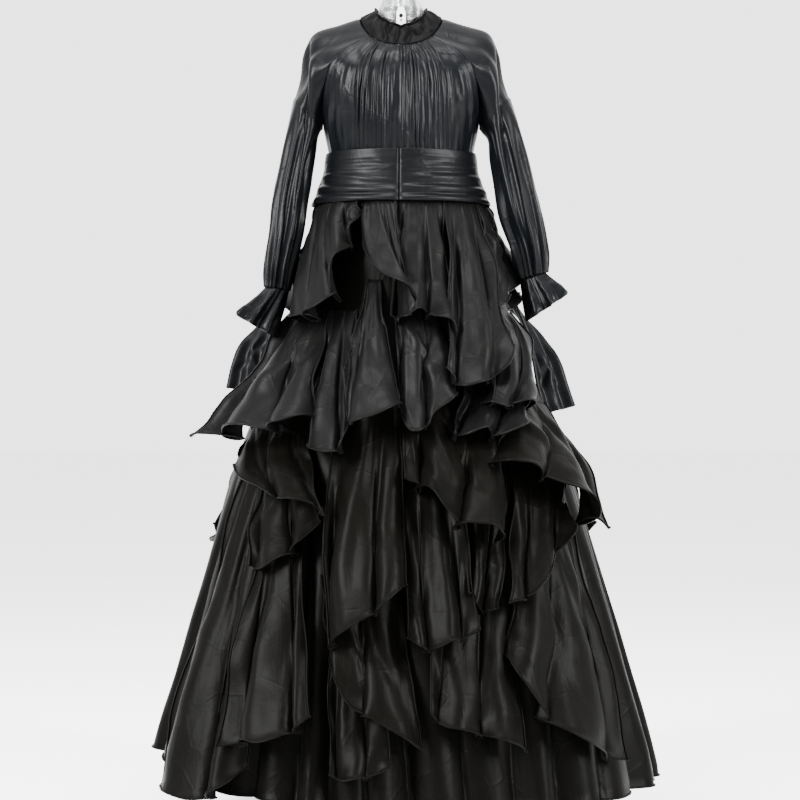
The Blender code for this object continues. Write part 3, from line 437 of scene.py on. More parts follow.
FRONT_HEMS = {
    # turn, height, out: along the hem, from the flounce's first end to its last
    "waist_1": [(-90, 1.0, 0.014), (-56, 0.96, 0.032), (-42, 0.96, 0.05), (-34, 0.97, 0.06),
        (-28, 1.0, 0.066), (-27.5, 1.06, 0.058), (-26.5, 1.1, 0.04), (-24, 1.135, 0.014)],
    "waist_2": [(-25, 1.135, 0.014), (-16, 1.07, 0.034), (-8, 1.035, 0.054), (-1, 1.02, 0.07),
        (4, 1.005, 0.08), (5, 0.985, 0.08), (3, 0.96, 0.07)],
    "waist_3": [(-4, 0.96, 0.03), (2, 0.955, 0.04), (7, 0.97, 0.038), (13, 0.96, 0.042), (19, 0.95, 0.04),
        (21, 0.92, 0.034)],
    "waist_4": [(16, 0.86, 0.05), (18, 0.835, 0.064), (23, 0.835, 0.072), (29, 0.845, 0.074),
        (35, 0.865, 0.068), (40, 0.9, 0.058)],
    "waist_5": [(43, 0.98, 0.032), (50, 0.985, 0.042), (63, 1.01, 0.04), (90, 1.055, 0.032),
        (90, 1.095, 0.02)],
    "hip_1": [(-70, 0.73, 0.075), (-64, 0.75, 0.068), (-51, 0.755, 0.072), (-41, 0.76, 0.074),
        (-33, 0.765, 0.076), (-28, 0.785, 0.07)],
    "hip_2": [(-31, 0.74, 0.032), (-27, 0.72, 0.046), (-21, 0.715, 0.06), (-17, 0.725, 0.062),
        (-16, 0.75, 0.05), (-17, 0.78, 0.038)],
    "hip_3": [(-19, 0.86, 0.046), (-17, 0.81, 0.066), (-14, 0.77, 0.086), (-9, 0.775, 0.086),
        (-4, 0.79, 0.08), (0, 0.805, 0.062)],
    "hip_4": [(0, 0.79, 0.034), (2, 0.755, 0.05), (6, 0.755, 0.06), (10, 0.785, 0.06), (15, 0.805, 0.056),
        (19, 0.825, 0.044)],
    "hip_5": [(15, 0.745, 0.048), (18, 0.745, 0.062), (23, 0.755, 0.074), (28, 0.745, 0.08),
        (33, 0.755, 0.078), (40, 0.775, 0.066)],
    "hip_6": [(27, 0.805, 0.074), (31, 0.795, 0.078), (38, 0.805, 0.072), (47, 0.8, 0.058)],
    "knee_1": [(-61, 0.695, 0.034), (-49, 0.665, 0.048), (-40, 0.65, 0.056), (-32, 0.635, 0.064),
        (-26, 0.63, 0.068), (-21, 0.62, 0.074), (-18, 0.605, 0.07)],
    "knee_2": [(-42, 0.515, 0.04), (-36, 0.51, 0.046), (-31, 0.53, 0.046), (-26, 0.555, 0.042),
        (-22, 0.59, 0.036)],
    "knee_3": [(-16, 0.385, 0.06), (-12, 0.405, 0.078), (-8, 0.43, 0.088), (-4, 0.455, 0.09),
        (-1, 0.475, 0.084), (1, 0.49, 0.064)],
    "knee_4": [(1, 0.665, 0.046), (6, 0.655, 0.062), (9, 0.63, 0.078), (12, 0.6, 0.088),
        (17, 0.59, 0.092), (21, 0.585, 0.088), (25, 0.57, 0.07)],
    "knee_5": [(25, 0.7, 0.076), (29, 0.7, 0.086), (34, 0.69, 0.092), (40, 0.67, 0.092),
        (47, 0.645, 0.094), (53, 0.61, 0.084), (60, 0.57, 0.066)],
    "knee_6": [(26, 0.45, 0.046), (29, 0.46, 0.056), (33, 0.48, 0.06), (38, 0.51, 0.06),
        (44, 0.545, 0.052), (50, 0.58, 0.038)],
    "knee_7": [(16, 0.47, 0.03), (18, 0.45, 0.038), (20, 0.44, 0.04), (23, 0.445, 0.034)],
    "hem_1": [(-59, 0.12, 0.04), (-51, 0.11, 0.052), (-44, 0.11, 0.056), (-39, 0.125, 0.05),
        (-36, 0.14, 0.04), (-35, 0.17, 0.026)],
    "hem_2": [(-38, 0.205, 0.06), (-32, 0.22, 0.072), (-27, 0.22, 0.078), (-22, 0.24, 0.076),
        (-20, 0.25, 0.064), (-19, 0.26, 0.05)],
    "hem_3": [(-17, 0.365, 0.03), (-14, 0.325, 0.044), (-10, 0.285, 0.054), (-5, 0.26, 0.06),
        (0, 0.235, 0.06), (4, 0.215, 0.046)],
    "hem_4": [(-14, 0.165, 0.034), (-11, 0.16, 0.042), (-8, 0.165, 0.046), (-5, 0.17, 0.044),
        (-2, 0.18, 0.036)],
    "hem_5": [(2, 0.395, 0.044), (5, 0.38, 0.058), (8, 0.385, 0.066), (11, 0.395, 0.07), (14, 0.4, 0.066),
        (17, 0.41, 0.054)],
    "hem_6": [(6, 0.27, 0.038), (9, 0.25, 0.048), (13, 0.24, 0.052), (17, 0.235, 0.054), (21, 0.22, 0.05),
        (26, 0.2, 0.038)],
    "hem_7": [(25, 0.37, 0.034), (26, 0.33, 0.044), (28, 0.295, 0.052), (32, 0.25, 0.056),
        (38, 0.21, 0.056), (46, 0.185, 0.05), (53, 0.165, 0.038)],
}
FLOUNCE_CREASES = {
    # along_from, down_from, along_to, down_to, half_width, height
    "waist_1": [(0.1, 0.05, 0.3, 0.95, 0.012, 0.007), (0.42, 0.05, 0.5, 0.9, 0.01, -0.008),
        (0.6, 0.1, 0.7, 0.85, 0.012, 0.008), (0.84, 0.05, 0.86, 0.8, 0.01, -0.007)],
    "waist_2": [(0.25, 0.1, 0.3, 0.9, 0.009, 0.006), (0.7, 0.1, 0.65, 0.8, 0.008, -0.006)],
    "waist_3": [(0.2, 0.1, 0.16, 0.9, 0.008, 0.006), (0.55, 0.1, 0.6, 0.95, 0.01, -0.006),
        (0.8, 0.15, 0.85, 0.8, 0.008, 0.006)],
    "waist_4": [(0.2, 0.08, 0.3, 0.85, 0.01, -0.008), (0.45, 0.05, 0.55, 0.95, 0.012, 0.008),
        (0.75, 0.1, 0.8, 0.7, 0.009, -0.006)],
    "waist_5": [(0.1, 0.2, 0.8, 0.8, 0.009, 0.006), (0.7, 0.1, 0.3, 0.9, 0.008, 0.005),
        (0.4, 0.1, 0.9, 0.5, 0.007, -0.005)],
    "hip_1": [(0.85, 0.1, 0.25, 0.8, 0.014, 0.007), (0.9, 0.25, 0.55, 0.95, 0.012, -0.008),
        (0.35, 0.1, 0.1, 0.7, 0.012, -0.007), (0.6, 0.05, 0.8, 0.6, 0.008, 0.005)],
    "hip_3": [(0.5, 0.05, 0.3, 0.95, 0.01, 0.006), (0.6, 0.1, 0.75, 0.9, 0.009, -0.005)],
    "hip_4": [(0.2, 0.2, 0.8, 0.7, 0.009, 0.006), (0.75, 0.15, 0.35, 0.85, 0.008, -0.006),
        (0.5, 0.05, 0.55, 0.5, 0.007, 0.005)],
    "knee_1": [(0.2, 0.15, 0.35, 0.85, 0.012, -0.007), (0.6, 0.1, 0.5, 0.9, 0.011, 0.007),
        (0.8, 0.2, 0.9, 0.85, 0.01, -0.006)],
    "knee_3": [(0.6, 0.05, 0.2, 0.95, 0.013, 0.008), (0.8, 0.15, 0.6, 0.9, 0.011, -0.008)],
    "knee_4": [(0.15, 0.05, 0.45, 0.7, 0.012, 0.008), (0.3, 0.05, 0.75, 0.8, 0.011, -0.009),
        (0.65, 0.05, 0.9, 0.6, 0.01, 0.006), (0.1, 0.4, 0.35, 0.95, 0.011, -0.006)],
    "knee_5": [(0.1, 0.1, 0.55, 0.85, 0.013, 0.008), (0.45, 0.05, 0.8, 0.7, 0.012, -0.009),
        (0.8, 0.1, 0.95, 0.6, 0.01, 0.006)],
    "hem_1": [(0.55, 0.02, 0.3, 0.95, 0.013, 0.006), (0.65, 0.1, 0.75, 0.9, 0.012, -0.007)],
    "hem_2": [(0.45, 0.02, 0.25, 0.9, 0.012, -0.007), (0.6, 0.05, 0.7, 0.95, 0.013, 0.006)],
    "hem_3": [(0.25, 0.1, 0.55, 0.85, 0.01, 0.006), (0.6, 0.05, 0.85, 0.8, 0.01, -0.006)],
    "hem_5": [(0.3, 0.05, 0.25, 0.9, 0.01, 0.007), (0.65, 0.05, 0.75, 0.85, 0.01, -0.007)],
    "hem_7": [(0.2, 0.1, 0.5, 0.85, 0.011, 0.007), (0.55, 0.05, 0.85, 0.75, 0.011, -0.008)],
}
COMMON_CREASES = [
    # along_from, down_from, along_to, down_to, half_width, height
    (0.3, 0.08, 0.38, 0.85, 0.009, 0.005),
    (0.66, 0.05, 0.6, 0.8, 0.009, -0.005),
]
TOP_GAP = 0.12
SEAT = 0.0022
FULLNESS = 1.45
HEM_DIP = 0.55
HEM_RUFFLE = 0.9
GATHER = 0.0014
EDGE_CURL = 0.010
HEM_FLIP = 0.009


def flounce(first, last, tops, columns, rows, waves, depth, phase, swell, hem, seed, lines):
    """A gathered strip whose top runs from one of the skirt's gathers to another."""
    s = shares(columns)
    down = shares(rows)
    turn_top = (first + TOP_GAP + (last - first - 2 * TOP_GAP) * s) * 360.0 / SKIRT_COLUMNS
    height_top = tops[0] + (tops[1] - tops[0]) * s
    uneven = wander(s, waves * 1.3, seed)
    angle = 2 * math.pi * waves * s + phase + 0.9 * uneven
    second = np.cos(2 * angle + 1.1 + seed) * 0.18 + np.cos(3.3 * angle + seed) * 0.10
    ripple = depth * (np.cos(angle) + second) * (1.0 + 0.35 * uneven)
    shift = FULLNESS * np.sin(angle) / (2 * math.pi * waves)
    shift -= shift[0] * (1.0 - s) + shift[-1] * s
    edge = through(hem, unit(s + shift))
    puckers = np.cos(2 * math.pi * s * (last - first) * 1.1 + 4.0 * uneven)
    puckers = puckers * (0.6 + wander(s, waves * 3.0, seed + 7))
    sides = np.exp(-(s / 0.11) ** 2), np.exp(-((1.0 - s) / 0.11) ** 2)
    grid = []
    for t in down:
        turn = turn_top + (edge[:, 0] - turn_top) * t
        height = height_top + (edge[:, 1] + HEM_DIP * ripple - height_top) * t
        held = SEAT + (edge[:, 2] - SEAT) * t ** swell
        swing = ripple * (t ** (1.15 + 0.25 * uneven) + HEM_RUFFLE * t ** 5)
        flip = HEM_FLIP * unit((t - 0.80) / 0.20) ** 2 * np.cos(angle * 1.7 + seed)
        free = min(1.0, 3.5 * t) * min(1.0, 3.0 * (1.0 - t) + 0.1)
        curl = EDGE_CURL * free * (sides[0] * math.cos(9.5 * t + seed) -
                                   sides[1] * math.cos(8.0 * t + 2.0 * seed))
        gathered = GATHER * puckers * (1.0 - t) ** 3 * min(1.0, 12.0 * t)
        fold = skirt_fold(turn, height) * (1.0 - t)
        out = held + swing + flip + gathered + fold + curl
        grid.append(skirt_point(turn, height, np.maximum(out, SEAT)))
    grid = np.array(grid)
    wide, long = cut_of(grid, False)[:2]
    free = unit(down * 3.0)[:, None]
    crumple = creases(lines, s, down, wide, long) + 0.0046 * lumps(grid, 0.075, seed)
    crumple += 0.0017 * lumps(grid, 0.026, seed + 5)
    return raise_by(grid, crumple * free)


# The knee and hem flounces take the skirt satin in darker colours and with less shine: painted shade,
# darker lower down on the same cloth.
LOWER_PAINTED_SHADE_BLACK = satin("lower_skirt_satin_painted_shade", (0.0003, 0.0003, 0.0002), (0.0014, 0.0013, 0.0010), 0.41,
                    0.019, 0.0012, 0.0005)
for seed, (name, first, last, top_first, top_last, waves, depth, phase, swell) in \
        enumerate(FRONT_FLOUNCES):
    grid = flounce(first, last, (top_first, top_last), 42 + 3 * (last - first), 34, waves, depth,
                   phase, swell, FRONT_HEMS[name], seed, FLOUNCE_CREASES.get(name, COMMON_CREASES))
    # Knee and hem flounces get the darker copy of the satin: painted shade.
    black = LOWER_PAINTED_SHADE_BLACK if name.startswith(("knee", "hem")) else SKIRT_BLACK
    cloth("ruffle_" + name, grid, black, "flounce_" + name,
          hem=True, sides=True)


# Flounces on the back: wider strips of the same satin in four level tiers, gathered along their top
# edges and stitched to the back of the underskirt. Each dips twice along its rolled hem.
BACK_TIERS = [
    # tier, first, each, pieces, top, hem, hem_rise, out, waves, depth
    ("waist", 28, 10, 4, 1.185, 0.99, 0.018, 0.036, 2.0, 0.009),
    ("hip", 34, 14, 2, 0.955, 0.74, 0.03, 0.06, 2.5, 0.014),
    ("knee", 30, 12, 3, 0.76, 0.52, 0.04, 0.062, 2.5, 0.016),
    ("hem", 30, 12, 3, 0.48, 0.17, 0.03, 0.056, 2.5, 0.014),
]
BACK_HEM = [
    # share_along, rise_share, out_share
    (0.02, 1.0, 0.55),
    (0.25, 0.0, 1.0),
    (0.5, 0.5, 1.05),
    (0.75, 0.0, 1.0),
    (0.98, 1.0, 0.55),
]
BACK_CREASES = [
    # along_from, down_from, along_to, down_to, half_width, height
    (0.12, 0.05, 0.2, 0.9, 0.01, 0.006),
    (0.36, 0.1, 0.28, 0.8, 0.012, -0.007),
    (0.55, 0.05, 0.66, 0.95, 0.012, 0.007),
    (0.84, 0.1, 0.8, 0.75, 0.01, -0.006),
]
for tier, first, each, pieces, top, low, rise, out, waves, depth in BACK_TIERS:
    for number in range(pieces):
        start = first + each * number
        hem = [((start + each * share) * 360.0 / SKIRT_COLUMNS, low + rise * up, out * outward)
               for share, up, outward in BACK_HEM]
        grid = flounce(start, start + each, (top, top), 70, 28, waves, depth, number * 1.3, 0.85,
                       hem, 40 + number + first, BACK_CREASES)
        # Knee and hem tiers get the darker copy of the satin: painted shade.
        black = LOWER_PAINTED_SHADE_BLACK if tier in ("knee", "hem") else SKIRT_BLACK
        cloth(f"ruffle_back_{tier}_{number + 1}", grid, black,
              f"flounce_back_{tier}_{number + 1}",
              hem=True, sides=True)


# Bodice: a front and a back of glossier blue-black satin, gathered into the collar seam and again
# into the waist. The gathers run down its middle, and its sides lie smooth over the chest.
FRONT_ROWS = [
    # edge_across, edge_out, edge_height, centre_out, centre_height, roundness, gather_depth, gathered
    (0.058, 0.052, 1.494, 0.074, 1.4725, 0.55, 0.0018, 0.048),
    (0.099, 0.074, 1.47, 0.094, 1.452, 0.65, 0.0034, 0.066),
    (0.128, 0.082, 1.441, 0.1075, 1.426, 0.8, 0.0034, 0.08),
    (0.1405, 0.07, 1.405, 0.115, 1.395, 0.9, 0.0032, 0.086),
    (0.146, 0.04, 1.365, 0.118, 1.359, 1.0, 0.003, 0.088),
    (0.1465, 0.0, 1.325, 0.118, 1.322, 1.0, 0.003, 0.09),
    (0.137, 0.0, 1.275, 0.108, 1.272, 1.0, 0.0024, 0.092),
    (0.138, 0.0, 1.2256, 0.105, 1.2256, 1.0, 0.0008, 0.094),
]
BACK_ROWS = [
    # edge_across, edge_out, edge_height, centre_out, centre_height, roundness, gather_depth, gathered
    (0.058, 0.044, 1.531, 0.068, 1.525, 0.55, 0.0008, 0.048),
    (0.098, 0.07, 1.486, 0.088, 1.48, 0.65, 0.0018, 0.07),
    (0.127, 0.082, 1.446, 0.1, 1.44, 0.8, 0.0024, 0.086),
    (0.1405, 0.07, 1.405, 0.106, 1.4, 0.9, 0.0026, 0.094),
    (0.146, 0.04, 1.365, 0.108, 1.36, 1.0, 0.0024, 0.098),
    (0.1465, 0.0, 1.325, 0.108, 1.322, 1.0, 0.0022, 0.1),
    (0.137, 0.0, 1.275, 0.1, 1.272, 1.0, 0.0016, 0.102),
    (0.138, 0.0, 1.2256, 0.105, 1.2256, 1.0, 0.0008, 0.104),
]
CHEST_CREASES = [
    # along_from, down_from, along_to, down_to, half_width, height
    (0.06, 0.5, 0.045, 0.98, 0.004, 0.0022),
    (0.095, 0.45, 0.085, 0.98, 0.005, -0.0022),
    (0.15, 0.2, 0.12, 0.75, 0.008, 0.0016),
    (0.86, 0.22, 0.88, 0.6, 0.009, 0.002),
    (0.91, 0.4, 0.905, 0.98, 0.005, -0.0022),
    (0.945, 0.3, 0.94, 0.98, 0.004, 0.0024),
    (0.83, 0.5, 0.85, 0.6, 0.006, 0.0018),
]
SEAM_LIFT = 0.0014
BODICE_BLUE = satin("bodice_satin", (0.0004, 0.0005, 0.0006), (0.0015, 0.0018, 0.0024), 0.30, 0.048,
                    0.0008, 0.0021)


def bodice(rows, gathers, side, seed):
    """Rows of points across a panel, gathered in its middle; side is 1 for the front."""
    middle = np.linspace(-1.0, 1.0, 8 * gathers + 1)
    beyond = 2.0 - (1.0 - shares(28)[1:]) ** 1.7
    place = np.concatenate([-beyond[::-1], middle, beyond])
    inside = unit(np.abs(place))
    outside = unit(np.abs(place) - 1.0)
    fade = unit((1.12 - np.abs(place)) * 4.0)
    bold = 0.75 + 0.9 * wander(place, 5.0, seed + 1)
    seam = SEAM_LIFT * np.exp(-((0.96 - outside) / 0.03) ** 2)
    grid = []
    for v in shares(64):
        wide, edge_out, edge_height, out, height, roundness, depth, gathered = \
            through(rows, np.array([v]))[0]
        end = math.pi / 2 * min(roundness, 1.0)
        across = np.sign(place) * (gathered * inside + (wide - gathered) * outside)
        angle = np.arcsin(np.clip(across * math.sin(end) / wide, -1.0, 1.0))
        share = (np.cos(angle) - math.cos(end)) / (1 - math.cos(end))
        phase = math.pi * gathers * place + 4.2 * wander(place, 4.6, seed) + \
            1.6 * wander(place + 0.6 * v, 2.0, seed + 4)
        ridge = 1.9 * np.abs(np.cos(phase / 2)) ** 0.65 - 1.2
        comes = 0.80 + 1.3 * np.array([noise.noise(Vector((p * 7.0, 2.6 * v, seed))) for p in place])
        fold = depth * fade * bold * comes * (ridge + 0.45 * wander(place, 14.0, seed + 2))
        out = edge_out + (out - edge_out) * share + fold * np.cos(angle)
        height = edge_height + (height - edge_height) * share
        grid.append(np.stack([side * (across + fold * np.sin(angle)), -side * out, height], axis=-1))
    grid = np.array(grid)
    down = shares(len(grid))
    soft = 0.0022 * lumps(grid * (1.0, 1.0, 0.3), 0.030, seed + 8)
    soft += 0.0016 * lumps(grid * (1.0, 1.0, 0.2), 0.012, seed + 9)
    soft *= (1.0 - outside ** 4)[None]
    soft += creases(CHEST_CREASES, (place + 2.0) / 4.0, down, 0.40, 0.26)
    return raise_by(grid, soft + seam * unit((0.75 - down) * 8.0)[:, None])


for name, rows, gathers, side, seed in (("front", FRONT_ROWS, 18, 1, 3), ("back", BACK_ROWS, 14, -1, 5)):
    cloth(f"bodice_{name}_satin", bodice(rows, gathers, side, seed), BODICE_BLUE,
          f"bodice_{name}")


# Sleeves: full bishop sleeves of the bodice satin, cut in one with the shoulder and set in by a
# raglan seam. They hang limp in a few long folds and are gathered in again at the wrist.
SHOULDER_BY_THE_COLLAR = [
    # across, out, height: from the front corner of the collar to its back corner
    (0.07, 0.03, 1.514),
    (0.077, 0.0, 1.535),
    (0.069, -0.026, 1.536),
]
SLEEVE_BLUE = satin("sleeve_satin", (0.0004, 0.0005, 0.0006), (0.0015, 0.0018, 0.0023), 0.31, 0.046,
                    0.0011, 0.0005)
SHOULDER_LINE = [
    # share_out, across, up: how far the top of the shoulder stands off a straight line
    (0.0, 0.0, 0.0),
    (0.25, 0.011, 0.023),
    (0.5, 0.024, 0.045),
    (0.62, 0.019, 0.048),
    (0.75, 0.012, 0.04),
    (0.88, 0.001, 0.018),
    (1.0, -0.003, 0.0),
]
CREST_WIDTH = 2.2
SLEEVE_LEFT = [
    # height, tilt, centre_across, centre_out, half_width, half_depth, fold_depth
    (1.352, 0.068, 0.18, 0.002, 0.0265, 0.052, 0.004),
    (1.317, 0.03, 0.196, 0.006, 0.0285, 0.054, 0.0055),
    (1.27, 0.01, 0.204, 0.012, 0.033, 0.057, 0.0065),
    (1.209, 0.0, 0.215, 0.022, 0.037, 0.06, 0.008),
    (1.148, 0.0, 0.227, 0.034, 0.037, 0.058, 0.0085),
    (1.089, 0.004, 0.242, 0.044, 0.03, 0.048, 0.0065),
    (1.042, 0.014, 0.249, 0.052, 0.023, 0.03, 0.0025),
]
SLEEVE_RIGHT = [
    # height, tilt, centre_across, centre_out, half_width, half_depth, fold_depth
    (1.352, 0.068, 0.179, 0.002, 0.026, 0.052, 0.004),
    (1.31, 0.026, 0.189, 0.006, 0.0265, 0.054, 0.0055),
    (1.255, 0.008, 0.199, 0.012, 0.029, 0.057, 0.0065),
    (1.19, 0.0, 0.209, 0.024, 0.033, 0.06, 0.008),
    (1.12, 0.0, 0.217, 0.038, 0.031, 0.056, 0.0085),
    (1.06, 0.0, 0.226, 0.056, 0.026, 0.046, 0.0065),
    (1.018, 0.006, 0.231, 0.07, 0.0215, 0.03, 0.0025),
]
SLEEVE_FOLDS = [
    # turn, half_turn, height, drift: a turn starts at the inner side and passes the front at 90
    (12.0, 9.0, 0.5, 10.0),
    (38.0, 12.0, -0.8, 8.0),
    (62.0, 10.0, 0.55, 6.0),
    (82.0, 9.0, -0.75, 5.0),
    (106.0, 10.0, 0.55, 6.0),
    (122.0, 10.0, -0.7, 10.0),
    (148.0, 12.0, 0.55, 14.0),
    (176.0, 13.0, -0.5, 8.0),
    (205.0, 13.0, 0.6, -10.0),
    (236.0, 12.0, -0.6, -6.0),
    (266.0, 11.0, 0.8, 8.0),
    (296.0, 13.0, -0.7, 12.0),
    (328.0, 12.0, 0.5, -8.0),
]
RIDGE = [
    # height, left, right: the sharp fold that falls from the tip of the shoulder down the front
    (1.5, 0.18, 0.1745),
    (1.4, 0.185, 0.1755),
    (1.3, 0.1905, 0.179),
    (1.2, 0.208, 0.193),
    (1.1, 0.228, 0.21),
]
RIDGE_SLOPE = (0.0060, 0.030)
RIDGE_LIP = (0.0028, 0.004)
RIDGE_VALLEY = (0.0050, 0.008)
ARMPIT = 5
HALVED = 3
SLEEVE_SIDES = 144


def around_wander(angle, size, seed):
    """A slow wave from -1 to 1 that closes on itself round a tube."""
    return np.array([noise.noise(Vector((math.cos(a) * size, math.sin(a) * size, seed)))
                     for a in angle])


def armhole(side):
    """The raglan opening, from the underarm up the front, round the collar and down the back."""
    path = [row[:3] for row in FRONT_ROWS[ARMPIT::-1]] + SHOULDER_BY_THE_COLLAR
    path += [(across, -out, height) for across, out, height, *_ in BACK_ROWS[:ARMPIT + 1]]
    path = np.array(path) * (side, -1.0, 1.0)
    loop = []
    for number, (here, after) in enumerate(zip(path, path[1:])):
        loop.append(here)
        if min(number, len(path) - 2 - number) < HALVED:
            loop.append((here + after) / 2)
    return np.array(loop)


def around_loop(loop, share):
    """Points at given shares of a closed smooth curve through the loop's own points."""
    count = len(loop)
    place = share * count
    k = np.floor(place).astype(int)
    f = (place - k)[:, None]
    before, here, after, beyond = (loop[(k + i) % count] for i in (-1, 0, 1, 2))
    bend = 2 * here + (after - before) * f + (2 * before - 5 * here + 4 * after - beyond) * f ** 2
    return 0.5 * (bend + (3 * here - before - 3 * after + beyond) * f ** 3)


def sleeve_ring(row, side, angle, folds):
    """One ring of a sleeve or a cuff, with its folds."""
    height, tilt, across, out, half_width, half_depth, depth = row
    inward = np.cos(angle) * (1.0 + depth / half_width * folds)
    forward = np.sin(angle) * (1.0 + depth / half_depth * folds)
    return np.stack([side * (across - half_width * inward), -out - half_depth * forward,
                     height - tilt / 2 * inward], axis=-1)


def sleeve(table, ridge, side, seed):
    """Rings from the armhole over the shoulder and down to the wrist."""
    share = np.linspace(0.0, 1.0, SLEEVE_SIDES, endpoint=False)
    angle = 2 * math.pi * share
    opening = around_loop(armhole(side), share)
    opening[:, 0] += side * 0.0022 * unit(np.cos(angle)) ** 0.5
    crest = (0.5 - 0.5 * np.cos(angle)) ** CREST_WIDTH
    sway = around_wander(angle, 1.2, seed)

    def folds(fall):
        made = 0.3 * sway
        for turn, half_turn, height, drift in SLEEVE_FOLDS:
            at = turn + drift * fall + 5.0 * math.sin(5.0 * fall + turn + seed)
            off = (np.degrees(angle) - at + 180.0) % 360.0 - 180.0
            bold = 1.0 + 0.9 * noise.noise(Vector((2.6 * fall, turn, seed)))
            made = made + height * bold * np.exp(-(off / half_turn) ** 2)
        made = made * (0.15 + 0.85 * min(1.0, 3.0 * fall))
        return made + 0.8 * fall ** 3 * np.cos(15 * angle + 3.0 * sway)

    upper = sleeve_ring(table[0], side, angle, folds(0.0))
    rows = []
    for w in shares(26):
        row = opening * (1 - w) + upper * w
        row[:, 0] += side * smooth(SHOULDER_LINE, w, 1) * crest
        row[:, 2] += smooth(SHOULDER_LINE, w, 2) * crest
        rows.append(row)
    for fall in shares(70)[1:]:
        row = through(table, np.array([fall]))[0]
        rows.append(sleeve_ring(row, side, angle, folds(fall)))
    grid = np.array(rows)
    if side > 0:
        grid = grid[:, ::-1]
    start = np.arange(len(grid))
    free = unit(start / 24.0 - 0.1)[:, None]
    uneven = 0.0016 * lumps(grid * (1.0, 1.0, 0.3), 0.030, seed) * free
    uneven += 0.0028 * lumps(grid * (1.0, 1.0, 0.6), 0.040, seed + 2) * free
    uneven += SEAM_LIFT * np.exp(-(start / 0.8) ** 2)[:, None]
    height = grid[:, :, 2]
    off = np.abs(grid[:, :, 0]) - smooth(RIDGE, height, ridge)
    outer = RIDGE_SLOPE[0] * np.exp(-off / RIDGE_SLOPE[1]) + RIDGE_LIP[0] * np.exp(-off / RIDGE_LIP[1])
    valley = RIDGE_VALLEY[0] * -off / RIDGE_VALLEY[1] * np.exp(1.0 + off / RIDGE_VALLEY[1])
    inner = (RIDGE_SLOPE[0] + RIDGE_LIP[0]) * np.exp(np.minimum(off, 0.0) / 0.0035) - valley
    reach = unit((height - 1.10) * 9.0) * unit((1.497 - height) * 40.0)
    reach *= unit((-0.006 - grid[:, :, 1]) * 60.0)
    uneven += reach * np.where(off > 0.0, outer, inner)
    return raise_by(grid, uneven, True)


for name, grid in (("left", sleeve(SLEEVE_LEFT, 1, 1, 11)), ("right", sleeve(SLEEVE_RIGHT, 2, -1, 17))):
    cloth(f"sleeve_{name}_satin", grid, SLEEVE_BLUE, f"sleeve_{name}",
          around=True)


# Cuffs: a short frill of the same satin at each wrist, gathered where it meets the sleeve and
# flaring to a rolled edge.
CUFF_LEFT = [
    # height, tilt, centre_across, centre_out, half_width, half_depth, wave_depth
    (1.0415, 0.014, 0.2492, 0.0522, 0.023, 0.03, 0.0012),
    (1.026, 0.022, 0.256, 0.054, 0.0265, 0.036, 0.0028),
    (1.008, 0.032, 0.2655, 0.056, 0.0315, 0.044, 0.0046),
    (0.992, 0.04, 0.273, 0.058, 0.033, 0.048, 0.006),
    (0.985, 0.042, 0.274, 0.0585, 0.032, 0.047, 0.0064),
]
CUFF_RIGHT = [
    # height, tilt, centre_across, centre_out, half_width, half_depth, wave_depth
    (1.0175, 0.006, 0.2312, 0.0702, 0.0215, 0.03, 0.0012),
    (0.998, 0.012, 0.2425, 0.0755, 0.025, 0.037, 0.0028),
    (0.976, 0.022, 0.257, 0.0805, 0.03, 0.045, 0.0046),
    (0.958, 0.032, 0.269, 0.0835, 0.0312, 0.049, 0.006),
    (0.95, 0.034, 0.271, 0.084, 0.03, 0.048, 0.0064),
]


def cuff(table, side, seed):
    """Rings down a wrist's frill."""
    angle = np.linspace(0.0, 2 * math.pi, 140, endpoint=False)
    sway = around_wander(angle, 1.0, seed)
    frill = np.cos(7 * angle + 0.8 + 1.2 * sway) + 0.4 * np.cos(15 * angle + 2.0 * sway)
    grid = np.array([sleeve_ring(row, side, angle, frill) for row in through(table, shares(24))])
    grid[:, :, 2] -= 0.0006
    if side > 0:
        grid = grid[:, ::-1]
    return raise_by(grid, 0.0016 * lumps(grid, 0.018, seed), True)


for name, grid in (("left", cuff(CUFF_LEFT, 1, 21)), ("right", cuff(CUFF_RIGHT, -1, 23))):
    cloth(f"cuff_{name}_satin", grid, SLEEVE_BLUE, f"cuff_{name}",
          around=True, hem=True)


# Collar: a soft stand of matt black satin round the neck, sewn to the bodice and the shoulders.
# It is lined with nothing, so it crumples a little as it stands.
COLLAR_SEAM = [
    # turn, across, out, height
    (0.0, 0.0, 0.074, 1.4725),
    (25.0, 0.03, 0.069, 1.4775),
    (50.0, 0.058, 0.052, 1.494),
    (72.0, 0.07, 0.03, 1.514),
    (95.0, 0.077, 0.0, 1.535),
    (115.0, 0.069, -0.026, 1.536),
    (132.0, 0.058, -0.044, 1.531),
    (155.0, 0.03, -0.0625, 1.527),
    (180.0, 0.0, -0.068, 1.525),
]
COLLAR_TOP = [
    # turn, radius, height
    (0.0, 0.05, 1.51),
    (22.0, 0.0505, 1.5175),
    (45.0, 0.05, 1.528),
    (70.0, 0.0485, 1.543),
    (90.0, 0.048, 1.5545),
    (125.0, 0.049, 1.55),
    (155.0, 0.05, 1.54),
    (180.0, 0.05, 1.537),
]
